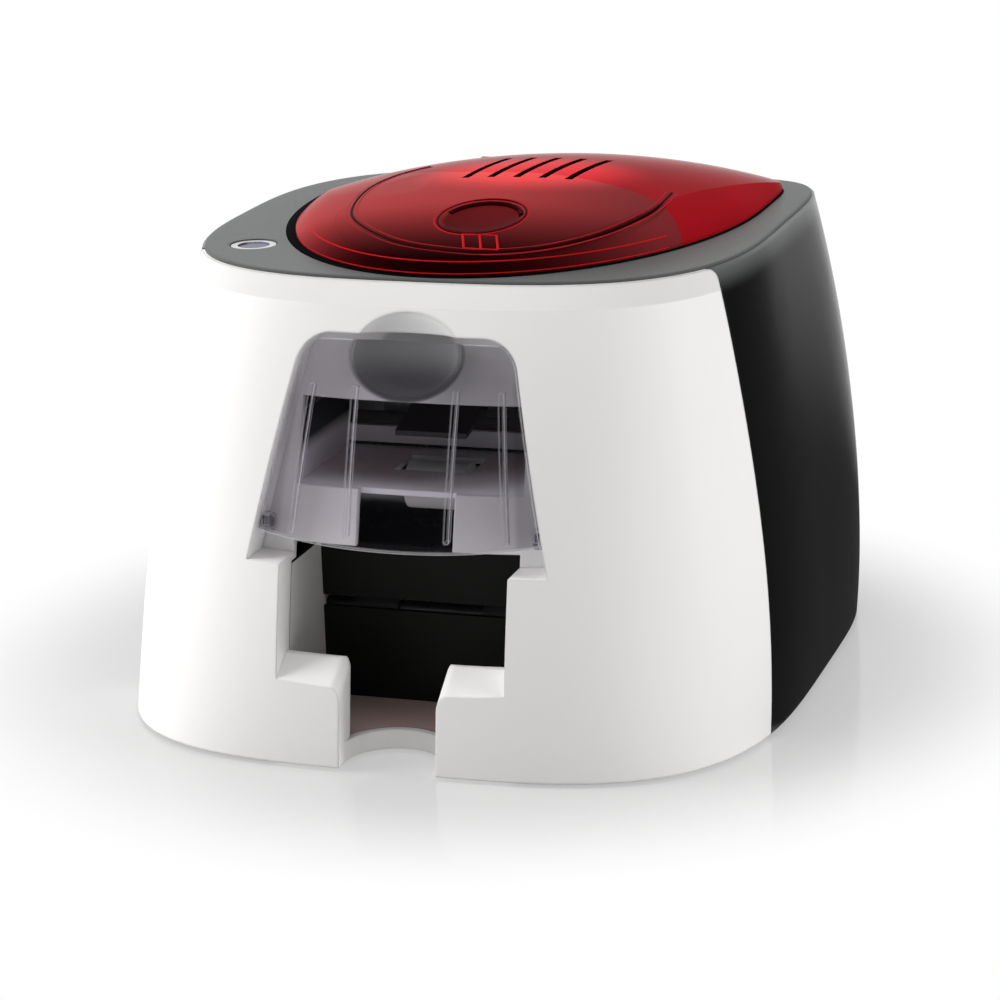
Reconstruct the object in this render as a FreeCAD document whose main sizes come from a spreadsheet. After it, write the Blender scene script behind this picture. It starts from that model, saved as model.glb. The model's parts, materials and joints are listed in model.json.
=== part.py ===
# Desktop card printer, built as an assembly of separate pieces.
# Frame: millimetres, +Z up, the front faces -Y, +X is to the right of someone facing the front.
# The origin lies on the table, under the middle of the object.
import FreeCAD, Part
import math
import os
import Sketcher

# Driving sizes. Lengths are in millimetres, angles in degrees, counts and powers are plain numbers.
SIZES = {
    # The card that the machine prints
    "card_long": 85.6,
    "card_thickness": 0.76,
    "card_side_room": 1.2,
    # Outer casing: four levels above the table, from the bottom edge to the crease round the top
    "casing_bottom": 1.5,
    "waist_level": 35.0,
    "chest_level": 105.0,
    "shoulder_level": 175.0,
    "bottom_half_width": 130.0,
    "waist_half_width": 130.7,
    "chest_half_width": 122.8,
    "shoulder_half_width": 110.0,
    "bottom_front": 137.0,
    "waist_front": 132.5,
    "chest_front": 116.5,
    "shoulder_front": 88.4,
    "bottom_rear": 133.0,
    "waist_rear": 137.2,
    "chest_rear": 133.5,
    "shoulder_rear": 121.0,
    "bottom_widest": 6.0,
    "waist_widest": 2.3,
    "chest_widest": 8.0,
    "shoulder_widest": 20.0,
    "bottom_front_power": 3.5,
    "waist_front_power": 3.0,
    "chest_front_power": 2.9,
    "shoulder_front_power": 3.0,
    "bottom_rear_power": 4.2,
    "waist_rear_power": 4.2,
    "chest_rear_power": 3.6,
    "shoulder_rear_power": 3.0,
    "bottom_right_rear_power": 4.7,
    "waist_right_rear_power": 4.8,
    "chest_right_rear_power": 6.2,
    "shoulder_right_rear_power": 6.5,
    "casing_wall": 2.5,
    "seam_bottom_reach": 66.0,
    "seam_top_reach": 44.0,
    "seam_corner": 4.0,
    # Top deck
    "deck_thickness": 2.5,
    "deck_flange": 1.0,
    "deck_flange_margin": 0.8,
    "deck_mouth_half_width": 58.0,
    "deck_mouth_front": 62.0,
    "deck_mouth_rear": 84.0,
    "deck_mouth_corner": 26.0,
    # Clearances and overrun
    "assembly_gap": 0.3,
    "running_gap": 0.03,
    "overrun": 30.0,
    # Output bay
    "bay_surround_depth": 12.0,
    "bay_wall": 2.5,
    "lip_front_level": 31.0,
    "lip_rise": 8.0,
    "lip_corner": 4.0,
    "lip_front_reach": 133.2,
    "finger_gap": 37.5,
    "notch_depth": 25.3,
    "bay_floor_level": 9.0,
    "bay_floor_underside": 4.0,
    "bay_depth": 56.0,
    "bay_liner_wall": 2.0,
    "bay_liner_top": 70.5,
    "bay_top_level": 78.5,
    "exit_slot_bottom": 44.5,
    "exit_slot_height": 4.5,
    # Recess and front cover
    "recess_floor_level": 74.0,
    "recess_bottom_half_width": 58.0,
    "recess_top_level": 156.0,
    "recess_top_half_width": 40.5,
    "recess_corner": 14.0,
    "recess_depth": 14.0,
    "recess_wall": 2.5,
    "mouth_bottom_level": 98.7,
    "mouth_top_level": 130.0,
    "dish_level": 149.5,
    "dish_bulge": 1.36,
    "dish_half_width": 20.3,
    "dish_half_height": 15.8,
    "dish_depth": 5.0,
    "cover_swing_radius": 69.6,
    "cover_split_gap": 0.6,
    "cover_gap": 1.0,
    "cover_wall": 2.5,
    "cover_inset": 1.0,
    "cover_middle_bottom": 80.6,
    "cover_bottom_radius": 346.0,
    "rib_inner_place": 19.5,
    "rib_outer_place": 39.0,
    "rib_flare": 5.0,
    "rib_thickness": 1.6,
    "rib_depth": 5.0,
    "rib_bottom_level": 84.5,
    "rib_top_level": 137.0,
    "cover_pivot_reach": 110.0,
    "cover_pivot_level": 86.0,
    "cover_pin_radius": 2.0,
    "cover_pin_inner": 51.0,
    "cover_pin_outer": 57.4,
    "cover_arm_width": 2.6,
    "cover_arm_radius": 4.0,
    # Top cover
    "lid_middle": 4.9,
    "lid_half_width": 91.3,
    "lid_front": 84.6,
    "lid_widest": 51.8,
    "lid_rear": 110.2,
    "lid_front_power": 2.0,
    "lid_rear_power": 2.0,
    "lid_right_rear_power": 6.8,
    "lid_gap": 0.8,
    "lid_skirt": 1.1,
    "lid_slope_reach": 56.0,
    "lid_slope_rise": 7.0,
    "lid_slope_round": 6.0,
    "lid_slope_share": 0.22,
    "lid_shift_share": 0.4,
    "lid_front_share": 0.85,
    "lid_rear_share": 0.5,
    "lid_wall": 2.5,
    "crown_top": 195.0,
    "crown_offset": 10.0,
    "crown_place": 20.1,
    "crown_height_radius": 120.0,
    "crown_width_radius": 206.4,
    "crown_length_radius": 222.2,
    "dimple_place": 43.0,
    "dimple_offset": 7.0,
    "dimple_half_width": 16.1,
    "dimple_half_length": 18.0,
    "dimple_depth": 3.0,
    "vent_count": 5,
    "vent_pitch": 10.5,
    "vent_width": 3.0,
    "vent_length": 47.5,
    "vent_offset": 4.5,
    "vent_start": 7.5,
    "vent_shift": 3.2,
    # Top cover hinge
    "hinge_place": 114.6,
    "hinge_level": 178.6,
    "hinge_pin_radius": 1.5,
    "knuckle_radius": 2.8,
    "knuckle_start": 20.0,
    "knuckle_length": 10.0,
    "hinge_arm_reach": 16.0,
    # Button
    "button_offset": 82.2,
    "button_place": 40.5,
    "bezel_radius": 8.8,
    "bezel_inner_radius": 7.2,
    "bezel_height": 1.0,
    "bezel_sink": 1.3,
    "bezel_room": 0.5,
    "button_radius": 6.2,
    "button_thickness": 3.0,
    "button_travel": 1.0,
    "button_stem_radius": 3.0,
    "button_board_level": 162.0,
    "button_board_side": 26.0,
    "button_post_radius": 2.5,
    # Base tray, feet and case screws
    "base_thickness": 2.5,
    "foot_radius": 9.0,
    "foot_offset": 92.0,
    "foot_front": 84.0,
    "foot_rear": 98.0,
    "boss_radius": 4.5,
    "boss_height": 22.0,
    "boss_offset": 104.0,
    "boss_front": 46.0,
    "boss_rear": 82.0,
    "screw_radius": 1.5,
    "screw_head_radius": 2.8,
    "screw_head_height": 1.2,
    # Side frames
    "frame_inner": 48.0,
    "frame_thickness": 2.0,
    "frame_bottom": 4.0,
    "frame_front_low": 77.0,
    "frame_front_high": 85.0,
    "frame_shelf_level": 78.0,
    "frame_front_top": 124.0,
    "frame_brow": 46.0,
    "frame_top": 142.0,
    "frame_rear_brow": 60.0,
    "frame_rear_top": 118.0,
    "frame_rear": 92.0,
    "rod_radius": 3.0,
    # Card path
    "path_lift": 0.3,
    "feeder_floor": 2.0,
    "feeder_wall": 2.0,
    "feeder_wall_top": 124.0,
    "feeder_rear": 45.0,
    "gate_top": 107.0,
    "gate_thickness": 2.0,
    "gate_room": 1.5,
    "feeder_ear_length": 16.0,
    "pick_window_half_width": 15.0,
    "pick_window_room": 1.0,
    "shaft_radius": 3.0,
    "shaft_overhang": 3.0,
    "bush_radius": 5.0,
    "bush_length": 4.0,
    "bush_lip": 1.0,
    "platen_place": 0.0,
    "platen_radius": 6.0,
    "feed_place": 36.0,
    "feed_radius": 6.0,
    "feed_tyre_place": 26.0,
    "feed_tyre_length": 18.0,
    "feed_pinch_radius": 5.0,
    "pick_place": 66.0,
    "pick_radius": 9.0,
    "pick_protrusion": 0.8,
    "pick_tyre_length": 24.0,
    "exit_place": 68.0,
    "exit_radius": 5.0,
    "exit_path_level": 46.0,
    "exit_pinch_radius": 4.0,
    "pinch_shaft_radius": 1.5,
    "pinch_end_room": 1.3,
    "chute_rear": 85.0,
    "chute_rear_level": 78.0,
    "chute_front": 60.0,
    "chute_front_level": 46.5,
    "chute_thickness": 1.5,
    "press_pivot_place": 50.0,
    "press_pivot_level": 119.0,
    "press_reach": 26.0,
    "press_half_width": 14.0,
    "press_thickness": 2.0,
    "press_droop": 5.0,
    # Gears, all of one module
    "gear_module": 1.0,
    "gear_width": 6.0,
    "gear_gap": 4.0,
    "tooth_thinning": 0.1,
    "tooth_clearance": 0.25,
    "pinion_teeth": 14,
    "drive_idler_teeth": 50,
    "platen_teeth": 24,
    "feed_idler_teeth": 20,
    "feed_teeth": 24,
    "pick_idler_teeth": 18,
    "pick_teeth": 16,
    "stud_radius": 2.0,
    "stud_head_radius": 3.2,
    "stud_head_length": 1.0,
    "gear_hub_radius": 5.0,
    "gear_web_recess": 1.5,
    "gear_rim": 2.5,
    # Belt drive to the exit roller
    "pulley_radius": 7.0,
    "pulley_flange_radius": 8.6,
    "pulley_width": 6.0,
    "pulley_gap": 1.0,
    "pulley_flange": 0.8,
    "belt_width": 4.0,
    "belt_thickness": 1.2,
    "belt_gap": 0.1,
    # Motors
    "motor_place": 30.0,
    "motor_level": 34.0,
    "motor_side": 35.0,
    "motor_corner": 4.0,
    "motor_length": 26.0,
    "motor_back_wall": 5.0,
    "motor_boss_radius": 10.0,
    "motor_shaft_radius": 2.5,
    "ribbon_motor_place": 20.0,
    "ribbon_motor_level": 72.0,
    "ribbon_motor_radius": 12.0,
    "ribbon_motor_length": 30.0,
    "ribbon_motor_boss_radius": 4.5,
    "ribbon_idler_teeth": 44,
    "takeup_teeth": 28,
    # Ribbon
    "takeup_place": 36.0,
    "takeup_level": 134.0,
    "takeup_roll_radius": 8.5,
    "supply_place": 44.0,
    "supply_level": 124.0,
    "supply_roll_radius": 14.5,
    "spindle_radius": 5.0,
    "spindle_end_room": 2.0,
    "ribbon_half_width": 42.0,
    # Print head and cover chassis
    "head_front": 7.0,
    "head_rear": 10.0,
    "head_level": 100.4,
    "head_half_width": 44.0,
    "head_plate": 2.0,
    "head_strip_height": 3.0,
    "head_block_height": 8.6,
    "head_bar_level": 150.0,
    "head_bar_height": 4.7,
    "head_bar_front": 4.0,
    "head_plate_rear": 7.0,
    "head_stud_radius": 2.0,
    "head_travel": 1.0,
    "head_ear_thickness": 3.0,
    "head_ear_height": 20.0,
    "chassis_bottom": 166.0,
    "chassis_thickness": 3.0,
    "chassis_front": 46.0,
    "chassis_rear": 66.0,
    "chassis_half_width": 50.0,
    "chassis_post_radius": 5.0,
    "chassis_post_offset": 42.0,
    "spring_radius": 4.0,
    "spring_bore": 2.6,
    "spring_offset": 26.0,
    "latch_offset": 14.1,
    "latch_place": 60.0,
    "latch_half_width": 4.5,
    "latch_thickness": 2.5,
    "latch_top_room": 1.9,
    "latch_bottom": 168.8,
    "latch_hook": 2.2,
    "latch_hook_height": 2.2,
    "latch_pin_radius": 1.5,
    "latch_pin_level": 178.0,
    "latch_house_wall": 1.8,
    "latch_house_front": 75.0,
    "latch_house_rear": 57.0,
    "latch_house_lift": 1.5,
    # Main board
    "board_level": 12.0,
    "board_thickness": 1.6,
    "board_half_width": 62.0,
    "board_front": 96.0,
    "board_rear": 126.0,
    "standoff_radius": 3.0,
    "usb_offset": 28.0,
    "usb_width": 12.0,
    "usb_height": 11.0,
    "usb_length": 17.0,
    "inlet_offset": 50.0,
    "inlet_width": 10.0,
    "inlet_height": 11.0,
    "inlet_length": 15.0,
    "inlet_bore_radius": 2.8,
    "socket_reach": 134.0,
    "socket_room": 0.6,
    "socket_wall": 1.5,
    "chip_side": 20.0,
    "chip_height": 3.0,
    "chip_offset": 24.0,
    "capacitor_radius": 4.0,
    "capacitor_height": 12.0,
    "capacitor_offset": 44.0,
    "plug_block_width": 16.0,
    "plug_block_depth": 5.0,
    "plug_block_height": 6.0,
    "rear_vent_count": 9,
    "rear_vent_pitch": 9.0,
    "rear_vent_width": 3.0,
    "rear_vent_bottom": 60.0,
    "rear_vent_height": 36.0,
}

# How finely the rounded outlines and the gear flanks are followed
OUTLINE_POINTS = 48
FLANK_POINTS = 5
PRESSURE_ANGLE = math.radians(20)

doc = FreeCAD.newDocument("card_printer")
sheet = doc.addObject("Spreadsheet::Sheet", "Sizes")
for row, (alias, number) in enumerate(SIZES.items(), start=1):
    sheet.set(f"A{row}", alias)
    sheet.set(f"B{row}", str(number))
    sheet.setAlias(f"B{row}", alias)
doc.recompute()


class Size:
    """A size as the sheet's expression and as its present value."""

    def __init__(self, text, value):
        self.text = text
        self.value = value

    def joined(self, sign, other, value):
        return Size(f"({self.text} {sign} {other.text})", value)

    def __add__(self, other):
        return self.joined("+", other, self.value + other.value)

    def __sub__(self, other):
        return self.joined("-", other, self.value - other.value)

    def __mul__(self, other):
        return self.joined("*", other, self.value * other.value)

    def __truediv__(self, other):
        return self.joined("/", other, self.value / other.value)

    def __neg__(self):
        return Size(f"(0 - {self.text})", -self.value)


class Sizes:
    """Gives each alias of the sheet as a Size."""

    def __getattr__(self, alias):
        return Size(f"Sizes.{alias}", float(sheet.get(alias)))


S = Sizes()
ZERO = Size("0", 0.0)
ONE = Size("1", 1.0)
TWO = Size("2", 2.0)


def root(size):
    return Size(f"sqrt({size.text})", math.sqrt(size.value))


def half(size):
    return size / TWO


# Turns that stand a Z axis along X or Y, and lay a flat sketch into the YZ or XZ plane
UPRIGHT = FreeCAD.Rotation()
ALONG_X = FreeCAD.Rotation(FreeCAD.Vector(0, 1, 0), 90)
ALONG_Y = FreeCAD.Rotation(FreeCAD.Vector(1, 0, 0), -90)
PLANE_TURNS = {
    "XY": UPRIGHT,
    "YZ": FreeCAD.Rotation(FreeCAD.Vector(1, 1, 1), 120),
    "XZ": FreeCAD.Rotation(FreeCAD.Vector(1, 0, 0), 90),
}
parts = {}


def bind(item, **sizes):
    for name, size in sizes.items():
        item.setExpression(name, size.text)
    return item


def put(item, x, y, z, turn=UPRIGHT):
    item.Placement = FreeCAD.Placement(FreeCAD.Vector(x.value, y.value, z.value), turn)
    for name, size in (("x", x), ("y", y), ("z", z)):
        item.setExpression(f"Placement.Base.{name}", size.text)
    return item


def box(x0, x1, y0, y1, z0, z1):
    item = doc.addObject("Part::Box", "Block")
    bind(item, Length=x1 - x0, Width=y1 - y0, Height=z1 - z0)
    return put(item, x0, y0, z0)


def rod_x(x0, x1, y, z, radius):
    item = bind(doc.addObject("Part::Cylinder", "Rod"), Radius=radius, Height=x1 - x0)
    return put(item, x0, y, z, ALONG_X)


def rod_y(x, y0, y1, z, radius):
    item = bind(doc.addObject("Part::Cylinder", "Rod"), Radius=radius, Height=y1 - y0)
    return put(item, x, y0, z, ALONG_Y)


def rod_z(x, y, z0, z1, radius):
    item = bind(doc.addObject("Part::Cylinder", "Rod"), Radius=radius, Height=z1 - z0)
    return put(item, x, y, z0)


def ellipsoid(x, y, z, x_radius, y_radius, z_radius):
    item = doc.addObject("Part::Ellipsoid", "Ellipsoid")
    bind(item, Radius1=z_radius, Radius2=x_radius, Radius3=y_radius)
    return put(item, x, y, z)


def fuse(*items):
    if len(items) == 1:
        return items[0]
    item = doc.addObject("Part::MultiFuse", "Joined")
    item.Shapes = list(items)
    return item


def common(*items):
    item = doc.addObject("Part::MultiCommon", "Shared")
    item.Shapes = list(items)
    return item


def cut(base, *tools):
    item = doc.addObject("Part::Cut", "Cut")
    item.Base = base
    item.Tool = fuse(*tools)
    return item


def group(*items):
    """Keeps the solids of one node apart."""
    item = doc.addObject("Part::Compound", "Group")
    item.Links = list(items)
    return item


def part(label, item):
    item.Label = label
    parts[label] = item
    return item


def coded(name, shape):
    item = doc.addObject("Part::Feature", name)
    item.Shape = shape
    return item


def fix_vertex(sketch, line, x, y):
    """Holds the first end of a line at its place."""
    for kind, size, axis in (("DistanceX", x, -2), ("DistanceY", y, -1)):
        if size is ZERO:
            sketch.addConstraint(Sketcher.Constraint("PointOnObject", line, 1, axis))
        else:
            number = sketch.addConstraint(Sketcher.Constraint(kind, -1, 1, line, 1, size.value))
            sketch.setExpression(f"Constraints[{number}]", size.text)


def outline(sketch, points):
    """Draws a closed outline through named places."""
    first = sketch.GeometryCount
    ends = [FreeCAD.Vector(x.value, y.value, 0) for x, y in points]
    for start, end in zip(ends, ends[1:] + ends[:1]):
        sketch.addGeometry(Part.LineSegment(start, end), False)
    for step in range(len(points)):
        follower = first + (step + 1) % len(points)
        sketch.addConstraint(Sketcher.Constraint("Coincident", first + step, 2, follower, 1))
    for step, (x, y) in enumerate(points):
        fix_vertex(sketch, first + step, x, y)


def hole(sketch, x, y, radius):
    """Draws a round hole inside an outline."""
    centre = FreeCAD.Vector(x.value, y.value, 0)
    circle = sketch.addGeometry(Part.Circle(centre, FreeCAD.Vector(0, 0, 1), radius.value), False)
    for kind, size, axis in (("DistanceX", x, -2), ("DistanceY", y, -1)):
        if size.value == 0:
            sketch.addConstraint(Sketcher.Constraint("PointOnObject", circle, 3, axis))
        else:
            number = sketch.addConstraint(Sketcher.Constraint(kind, -1, 1, circle, 3, size.value))
            sketch.setExpression(f"Constraints[{number}]", size.text)
    number = sketch.addConstraint(Sketcher.Constraint("Radius", circle, radius.value))
    sketch.setExpression(f"Constraints[{number}]", radius.text)


def own_plane(body, role):
    return next(plane for plane in body.Origin.OriginFeatures if plane.Role == role)


def plate_x(name, x0, thickness, points, holes=()):
    """A flat plate standing in a YZ plane, as a padded sketch."""
    body = doc.addObject("PartDesign::Body", name)
    sketch = body.newObject("Sketcher::SketchObject", name + "_outline")
    sketch.AttachmentSupport = [(own_plane(body, "YZ_Plane"), "")]
    sketch.MapMode = "FlatFace"
    outline(sketch, points)
    for y, z, radius in holes:
        hole(sketch, y, z, radius)
    pad = body.newObject("PartDesign::Pad", name + "_pad")
    pad.Profile = sketch
    bind(pad, Length=thickness)
    return put(body, x0, ZERO, ZERO)


def turned_x(name, y, z, steps):
    """A stepped round piece along X: steps are (start, end, radius), end to end."""
    body = doc.addObject("PartDesign::Body", name)
    sketch = body.newObject("Sketcher::SketchObject", name + "_profile")
    sketch.AttachmentSupport = [(own_plane(body, "XY_Plane"), "")]
    sketch.MapMode = "FlatFace"
    points = [(steps[0][0], ZERO)]
    for start, end, radius in steps:
        points += [(start, radius), (end, radius)]
    points.append((steps[-1][1], ZERO))
    outline(sketch, points)
    turn = body.newObject("PartDesign::Revolution", name + "_turned")
    turn.Profile = sketch
    turn.ReferenceAxis = (sketch, ["H_Axis"])
    return put(body, ZERO, y, z)


def ring_x(x0, x1, y, z, radius, bore):
    return cut(rod_x(x0, x1, y, z, radius), rod_x(x0 - S.overrun, x1 + S.overrun, y, z, bore))


def prism(plane, start, length, points):
    """A straight prism on an outline: YZ grows along +X, XZ along -Y and XY along +Z."""
    sketch = doc.addObject("Sketcher::SketchObject", "Outline")
    turn = PLANE_TURNS[plane]
    places = {"XY": (ZERO, ZERO, start), "YZ": (start, ZERO, ZERO), "XZ": (ZERO, start, ZERO)}
    put(sketch, *places[plane], turn)
    outline(sketch, points)
    item = doc.addObject("Part::Extrusion", "Prism")
    item.Base = sketch
    item.DirMode = "Normal"
    item.Solid = True
    return bind(item, LengthFwd=length)


# Rounded outlines

def rounded_points(middle, half_width, front, widest, rear, powers):
    """Points of an outline made of superellipses that meet where it is widest and at the middle of its rear.

    The powers are those of the front half, the left rear quarter and the right rear quarter."""
    front_power, left_rear_power, right_rear_power = powers
    points = []
    for step in range(OUTLINE_POINTS):
        angle = 2 * math.pi * step / OUTLINE_POINTS
        across, along = math.cos(angle), math.sin(angle)
        rear_power = right_rear_power if across > 0 else left_rear_power
        power, reach = (rear_power, rear - widest) if along > 0 else (front_power, front + widest)
        share = (abs(across) ** power + abs(along) ** power) ** (-1 / power)
        points.append((middle + half_width * across * share, widest + reach * along * share))
    return points


def rounded_wire(points, level):
    """A smooth closed curve at one level. Alike parameters keep the loft through it light."""
    curve = Part.BSplineCurve()
    places = [FreeCAD.Vector(x, y, level) for x, y in points]
    shares = [step / OUTLINE_POINTS for step in range(OUTLINE_POINTS + 1)]
    curve.interpolate(Points=places, PeriodicFlag=True, Parameters=shares)
    edges = []
    for quarter in range(4):
        stretch = curve.copy()
        stretch.segment(quarter / 4, (quarter + 1) / 4)
        edges.append(stretch.toShape())
    return Part.Wire(edges)


def casing_section(name, level, inset):
    value = {key: SIZES[f"{name}_{key}"] for key in ("half_width", "front", "rear", "widest")}
    powers = [SIZES[f"{name}_{key}_power"] for key in ("front", "rear", "right_rear")]
    points = rounded_points(0, value["half_width"] - inset, value["front"] - inset, value["widest"],
                            value["rear"] - inset, powers)
    return rounded_wire(points, level)


def casing(inset):
    """The casing's outer form, drawn in by an inset."""
    wires = [
        casing_section("bottom", SIZES["casing_bottom"], inset),
        casing_section("waist", SIZES["waist_level"], inset),
        casing_section("chest", SIZES["chest_level"], inset),
        casing_section("shoulder", SIZES["shoulder_level"], inset),
    ]
    return coded("Casing_form", Part.makeLoft(wires, True, False))


# Where the outlines of the top cover's slope are drawn, closer together near its edge
SLOPE_SHARES = (0, 0.04, 0.1, 0.18, 0.3, 0.5, 0.75, 1)


def lid_wire(inset, level):
    """The top cover's outline, drawn in so that its high middle ends up right of its centre."""
    points = rounded_points(
        SIZES["lid_middle"] + inset * SIZES["lid_shift_share"],
        SIZES["lid_half_width"] - inset,
        SIZES["lid_front"] - inset * SIZES["lid_front_share"],
        SIZES["lid_widest"],
        SIZES["lid_rear"] - inset * SIZES["lid_rear_share"],
        [SIZES[f"lid_{key}_power"] for key in ("front", "rear", "right_rear")],
    )
    return rounded_wire(points, level)


def lid_form(inset, drop, bottom):
    """The top cover's slope: a low skirt on its outline, then a steep edge that eases towards the crown."""
    edge = SIZES["shoulder_level"] + SIZES["lid_gap"] + SIZES["lid_skirt"] - drop
    wires = []
    for share in SLOPE_SHARES:
        reach = share * SIZES["lid_slope_reach"]
        rise = SIZES["lid_slope_rise"] * (1 - math.exp(-reach / SIZES["lid_slope_round"]))
        wires.append(lid_wire(inset + reach, edge + rise + reach * SIZES["lid_slope_share"]))
    skirt = Part.Face(lid_wire(inset, bottom)).extrude(FreeCAD.Vector(0, 0, edge - bottom))
    return coded("Lid_form", skirt.fuse(Part.makeLoft(wires, True, False)))


# Casing forms that several pieces share
wall_gap = SIZES["casing_wall"] + SIZES["assembly_gap"]
outer_form = casing(0)
inner_form = casing(SIZES["casing_wall"])
fitting_form = casing(wall_gap)
within_wall = casing(SIZES["casing_wall"] / 2)
casing_skin = cut(outer_form, inner_form)
FAR = S.bottom_front + S.overrun
SKY = S.crown_top + S.overrun
shoulder_seat = S.shoulder_level - S.deck_flange
bay_half = half(S.card_long) + S.card_side_room
gap_half = half(S.finger_gap)


seam_slope = (S.seam_bottom_reach - S.seam_top_reach) / S.shoulder_level


def seam_corner():
    """What the front casing's rounded upper corner leaves to the rear casing."""
    level = shoulder_seat - S.seam_corner
    edge = seam_slope * level - S.seam_bottom_reach
    centre = edge - S.seam_corner * root(seam_slope * seam_slope + ONE)
    block = box(-FAR, FAR, centre, ZERO, level, shoulder_seat + S.overrun)
    return cut(block, rod_x(-FAR, FAR, centre, level, S.seam_corner))


def seam_side(front):
    """Everything in front of, or behind, the slanting seam between the two casings."""
    rise = S.shoulder_level + S.overrun
    low = -(S.seam_bottom_reach + seam_slope * S.overrun)
    high = -(S.seam_bottom_reach - seam_slope * rise)
    edge = -FAR if front else FAR
    points = [(low, -S.overrun), (edge, -S.overrun), (edge, rise), (high, rise)]
    side = prism("YZ", -FAR, TWO * FAR, points)
    return cut(side, seam_corner()) if front else fuse(side, seam_corner())


def recess_prism(grow, bottom):
    """The recess's outline, run through the front. Its upper corners are round."""
    slope = (S.recess_bottom_half_width - S.recess_top_half_width) / (S.recess_top_level - S.recess_floor_level)
    lean = root(slope * slope + ONE)
    side = S.recess_bottom_half_width + grow * lean
    foot = side + slope * (S.recess_floor_level - bottom)
    top = S.recess_top_level + grow
    radius = S.recess_corner + grow
    centre_level = top - radius
    centre_side = side - slope * (centre_level - S.recess_floor_level) - radius * lean
    turn_side = centre_side + radius / lean
    turn_level = centre_level + radius * slope / lean
    points = [
        (-foot, bottom), (foot, bottom), (turn_side, turn_level), (centre_side, top),
        (-centre_side, top), (-turn_side, turn_level),
    ]
    start = -S.seam_bottom_reach
    flat = prism("XZ", start, FAR, points)
    corners = [rod_y(x, start - FAR, start, centre_level, radius) for x in (centre_side, -centre_side)]
    return fuse(flat, *corners)


# Front casing

front_lean = math.degrees(math.atan2(SIZES["chest_front"] - SIZES["shoulder_front"],
                                     SIZES["shoulder_level"] - SIZES["chest_level"]))


front_fall = (S.chest_front - S.shoulder_front) / (S.shoulder_level - S.chest_level)
dish_reach = S.chest_front - (S.dish_level - S.chest_level) * front_fall + S.dish_bulge


def dish(grow):
    """The finger dish, sunk into the leaning front across the front cover's upper edge."""
    item = ellipsoid(ZERO, -dish_reach, S.dish_level, S.dish_half_width + grow,
                     S.dish_depth + grow, S.dish_half_height + grow)
    return put(item, ZERO, -dish_reach, S.dish_level,
               FreeCAD.Rotation(FreeCAD.Vector(1, 0, 0), -front_lean))


def cover_swing(shrink):
    """The round space that the front cover's upper edge sweeps about its pivot."""
    return rod_x(-FAR, FAR, -S.cover_pivot_reach, S.cover_pivot_level, S.cover_swing_radius - shrink)


def sorted_pair(first, second):
    return (first, second) if first.value < second.value else (second, first)


def boss(x, y, wall_x):
    """A screw boss on the base, with a web out to the casing's wall."""
    low = S.casing_bottom + S.base_thickness
    top = low + S.boss_height
    thin = half(S.casing_wall)
    post = rod_z(x, y, low, top, S.boss_radius)
    web = box(*sorted_pair(x, wall_x), y - thin, y + thin, low, top)
    return fuse(post, web)


bay_side = bay_half + S.bay_wall
recess_back = -S.seam_bottom_reach


def lip_corner(side):
    """The sliver outside the rounded inner edge of a lip's sloping top."""
    radius = SIZES["lip_corner"]
    run = SIZES["bay_surround_depth"] + SIZES["overrun"]
    start = 0 if side > 0 else -radius
    block = Part.makeBox(radius, TWO.value * run, radius + run, FreeCAD.Vector(start, -run, -radius))
    rounded = Part.makeCylinder(radius, TWO.value * run, FreeCAD.Vector(side * radius, -run, -radius),
                                FreeCAD.Vector(0, 1, 0))
    lean = math.degrees(math.atan2(SIZES["lip_rise"], SIZES["bay_surround_depth"]))
    sliver = block.cut(rounded)
    sliver.rotate(FreeCAD.Vector(0, 0, 0), FreeCAD.Vector(1, 0, 0), lean)
    sliver.translate(FreeCAD.Vector(side * SIZES["finger_gap"] / 2, -SIZES["lip_front_reach"],
                                    SIZES["lip_front_level"]))
    return coded("Lip_corner", sliver)


def finger_notch(low, high, grow):
    """The half-round notch that lets a finger reach under the printed cards."""
    centre = -(S.bottom_front - S.notch_depth + gap_half)
    return fuse(box(-(gap_half + grow), gap_half + grow, -FAR, centre, low, high),
                rod_z(ZERO, centre, low, high, gap_half + grow))


def notch_wall():
    """The upright wall between the lips that follows the finger notch."""
    wall = cut(finger_notch(S.casing_bottom, S.bay_floor_level, S.casing_wall),
               finger_notch(-S.overrun, FAR, ZERO))
    return common(within_wall, wall)


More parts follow.
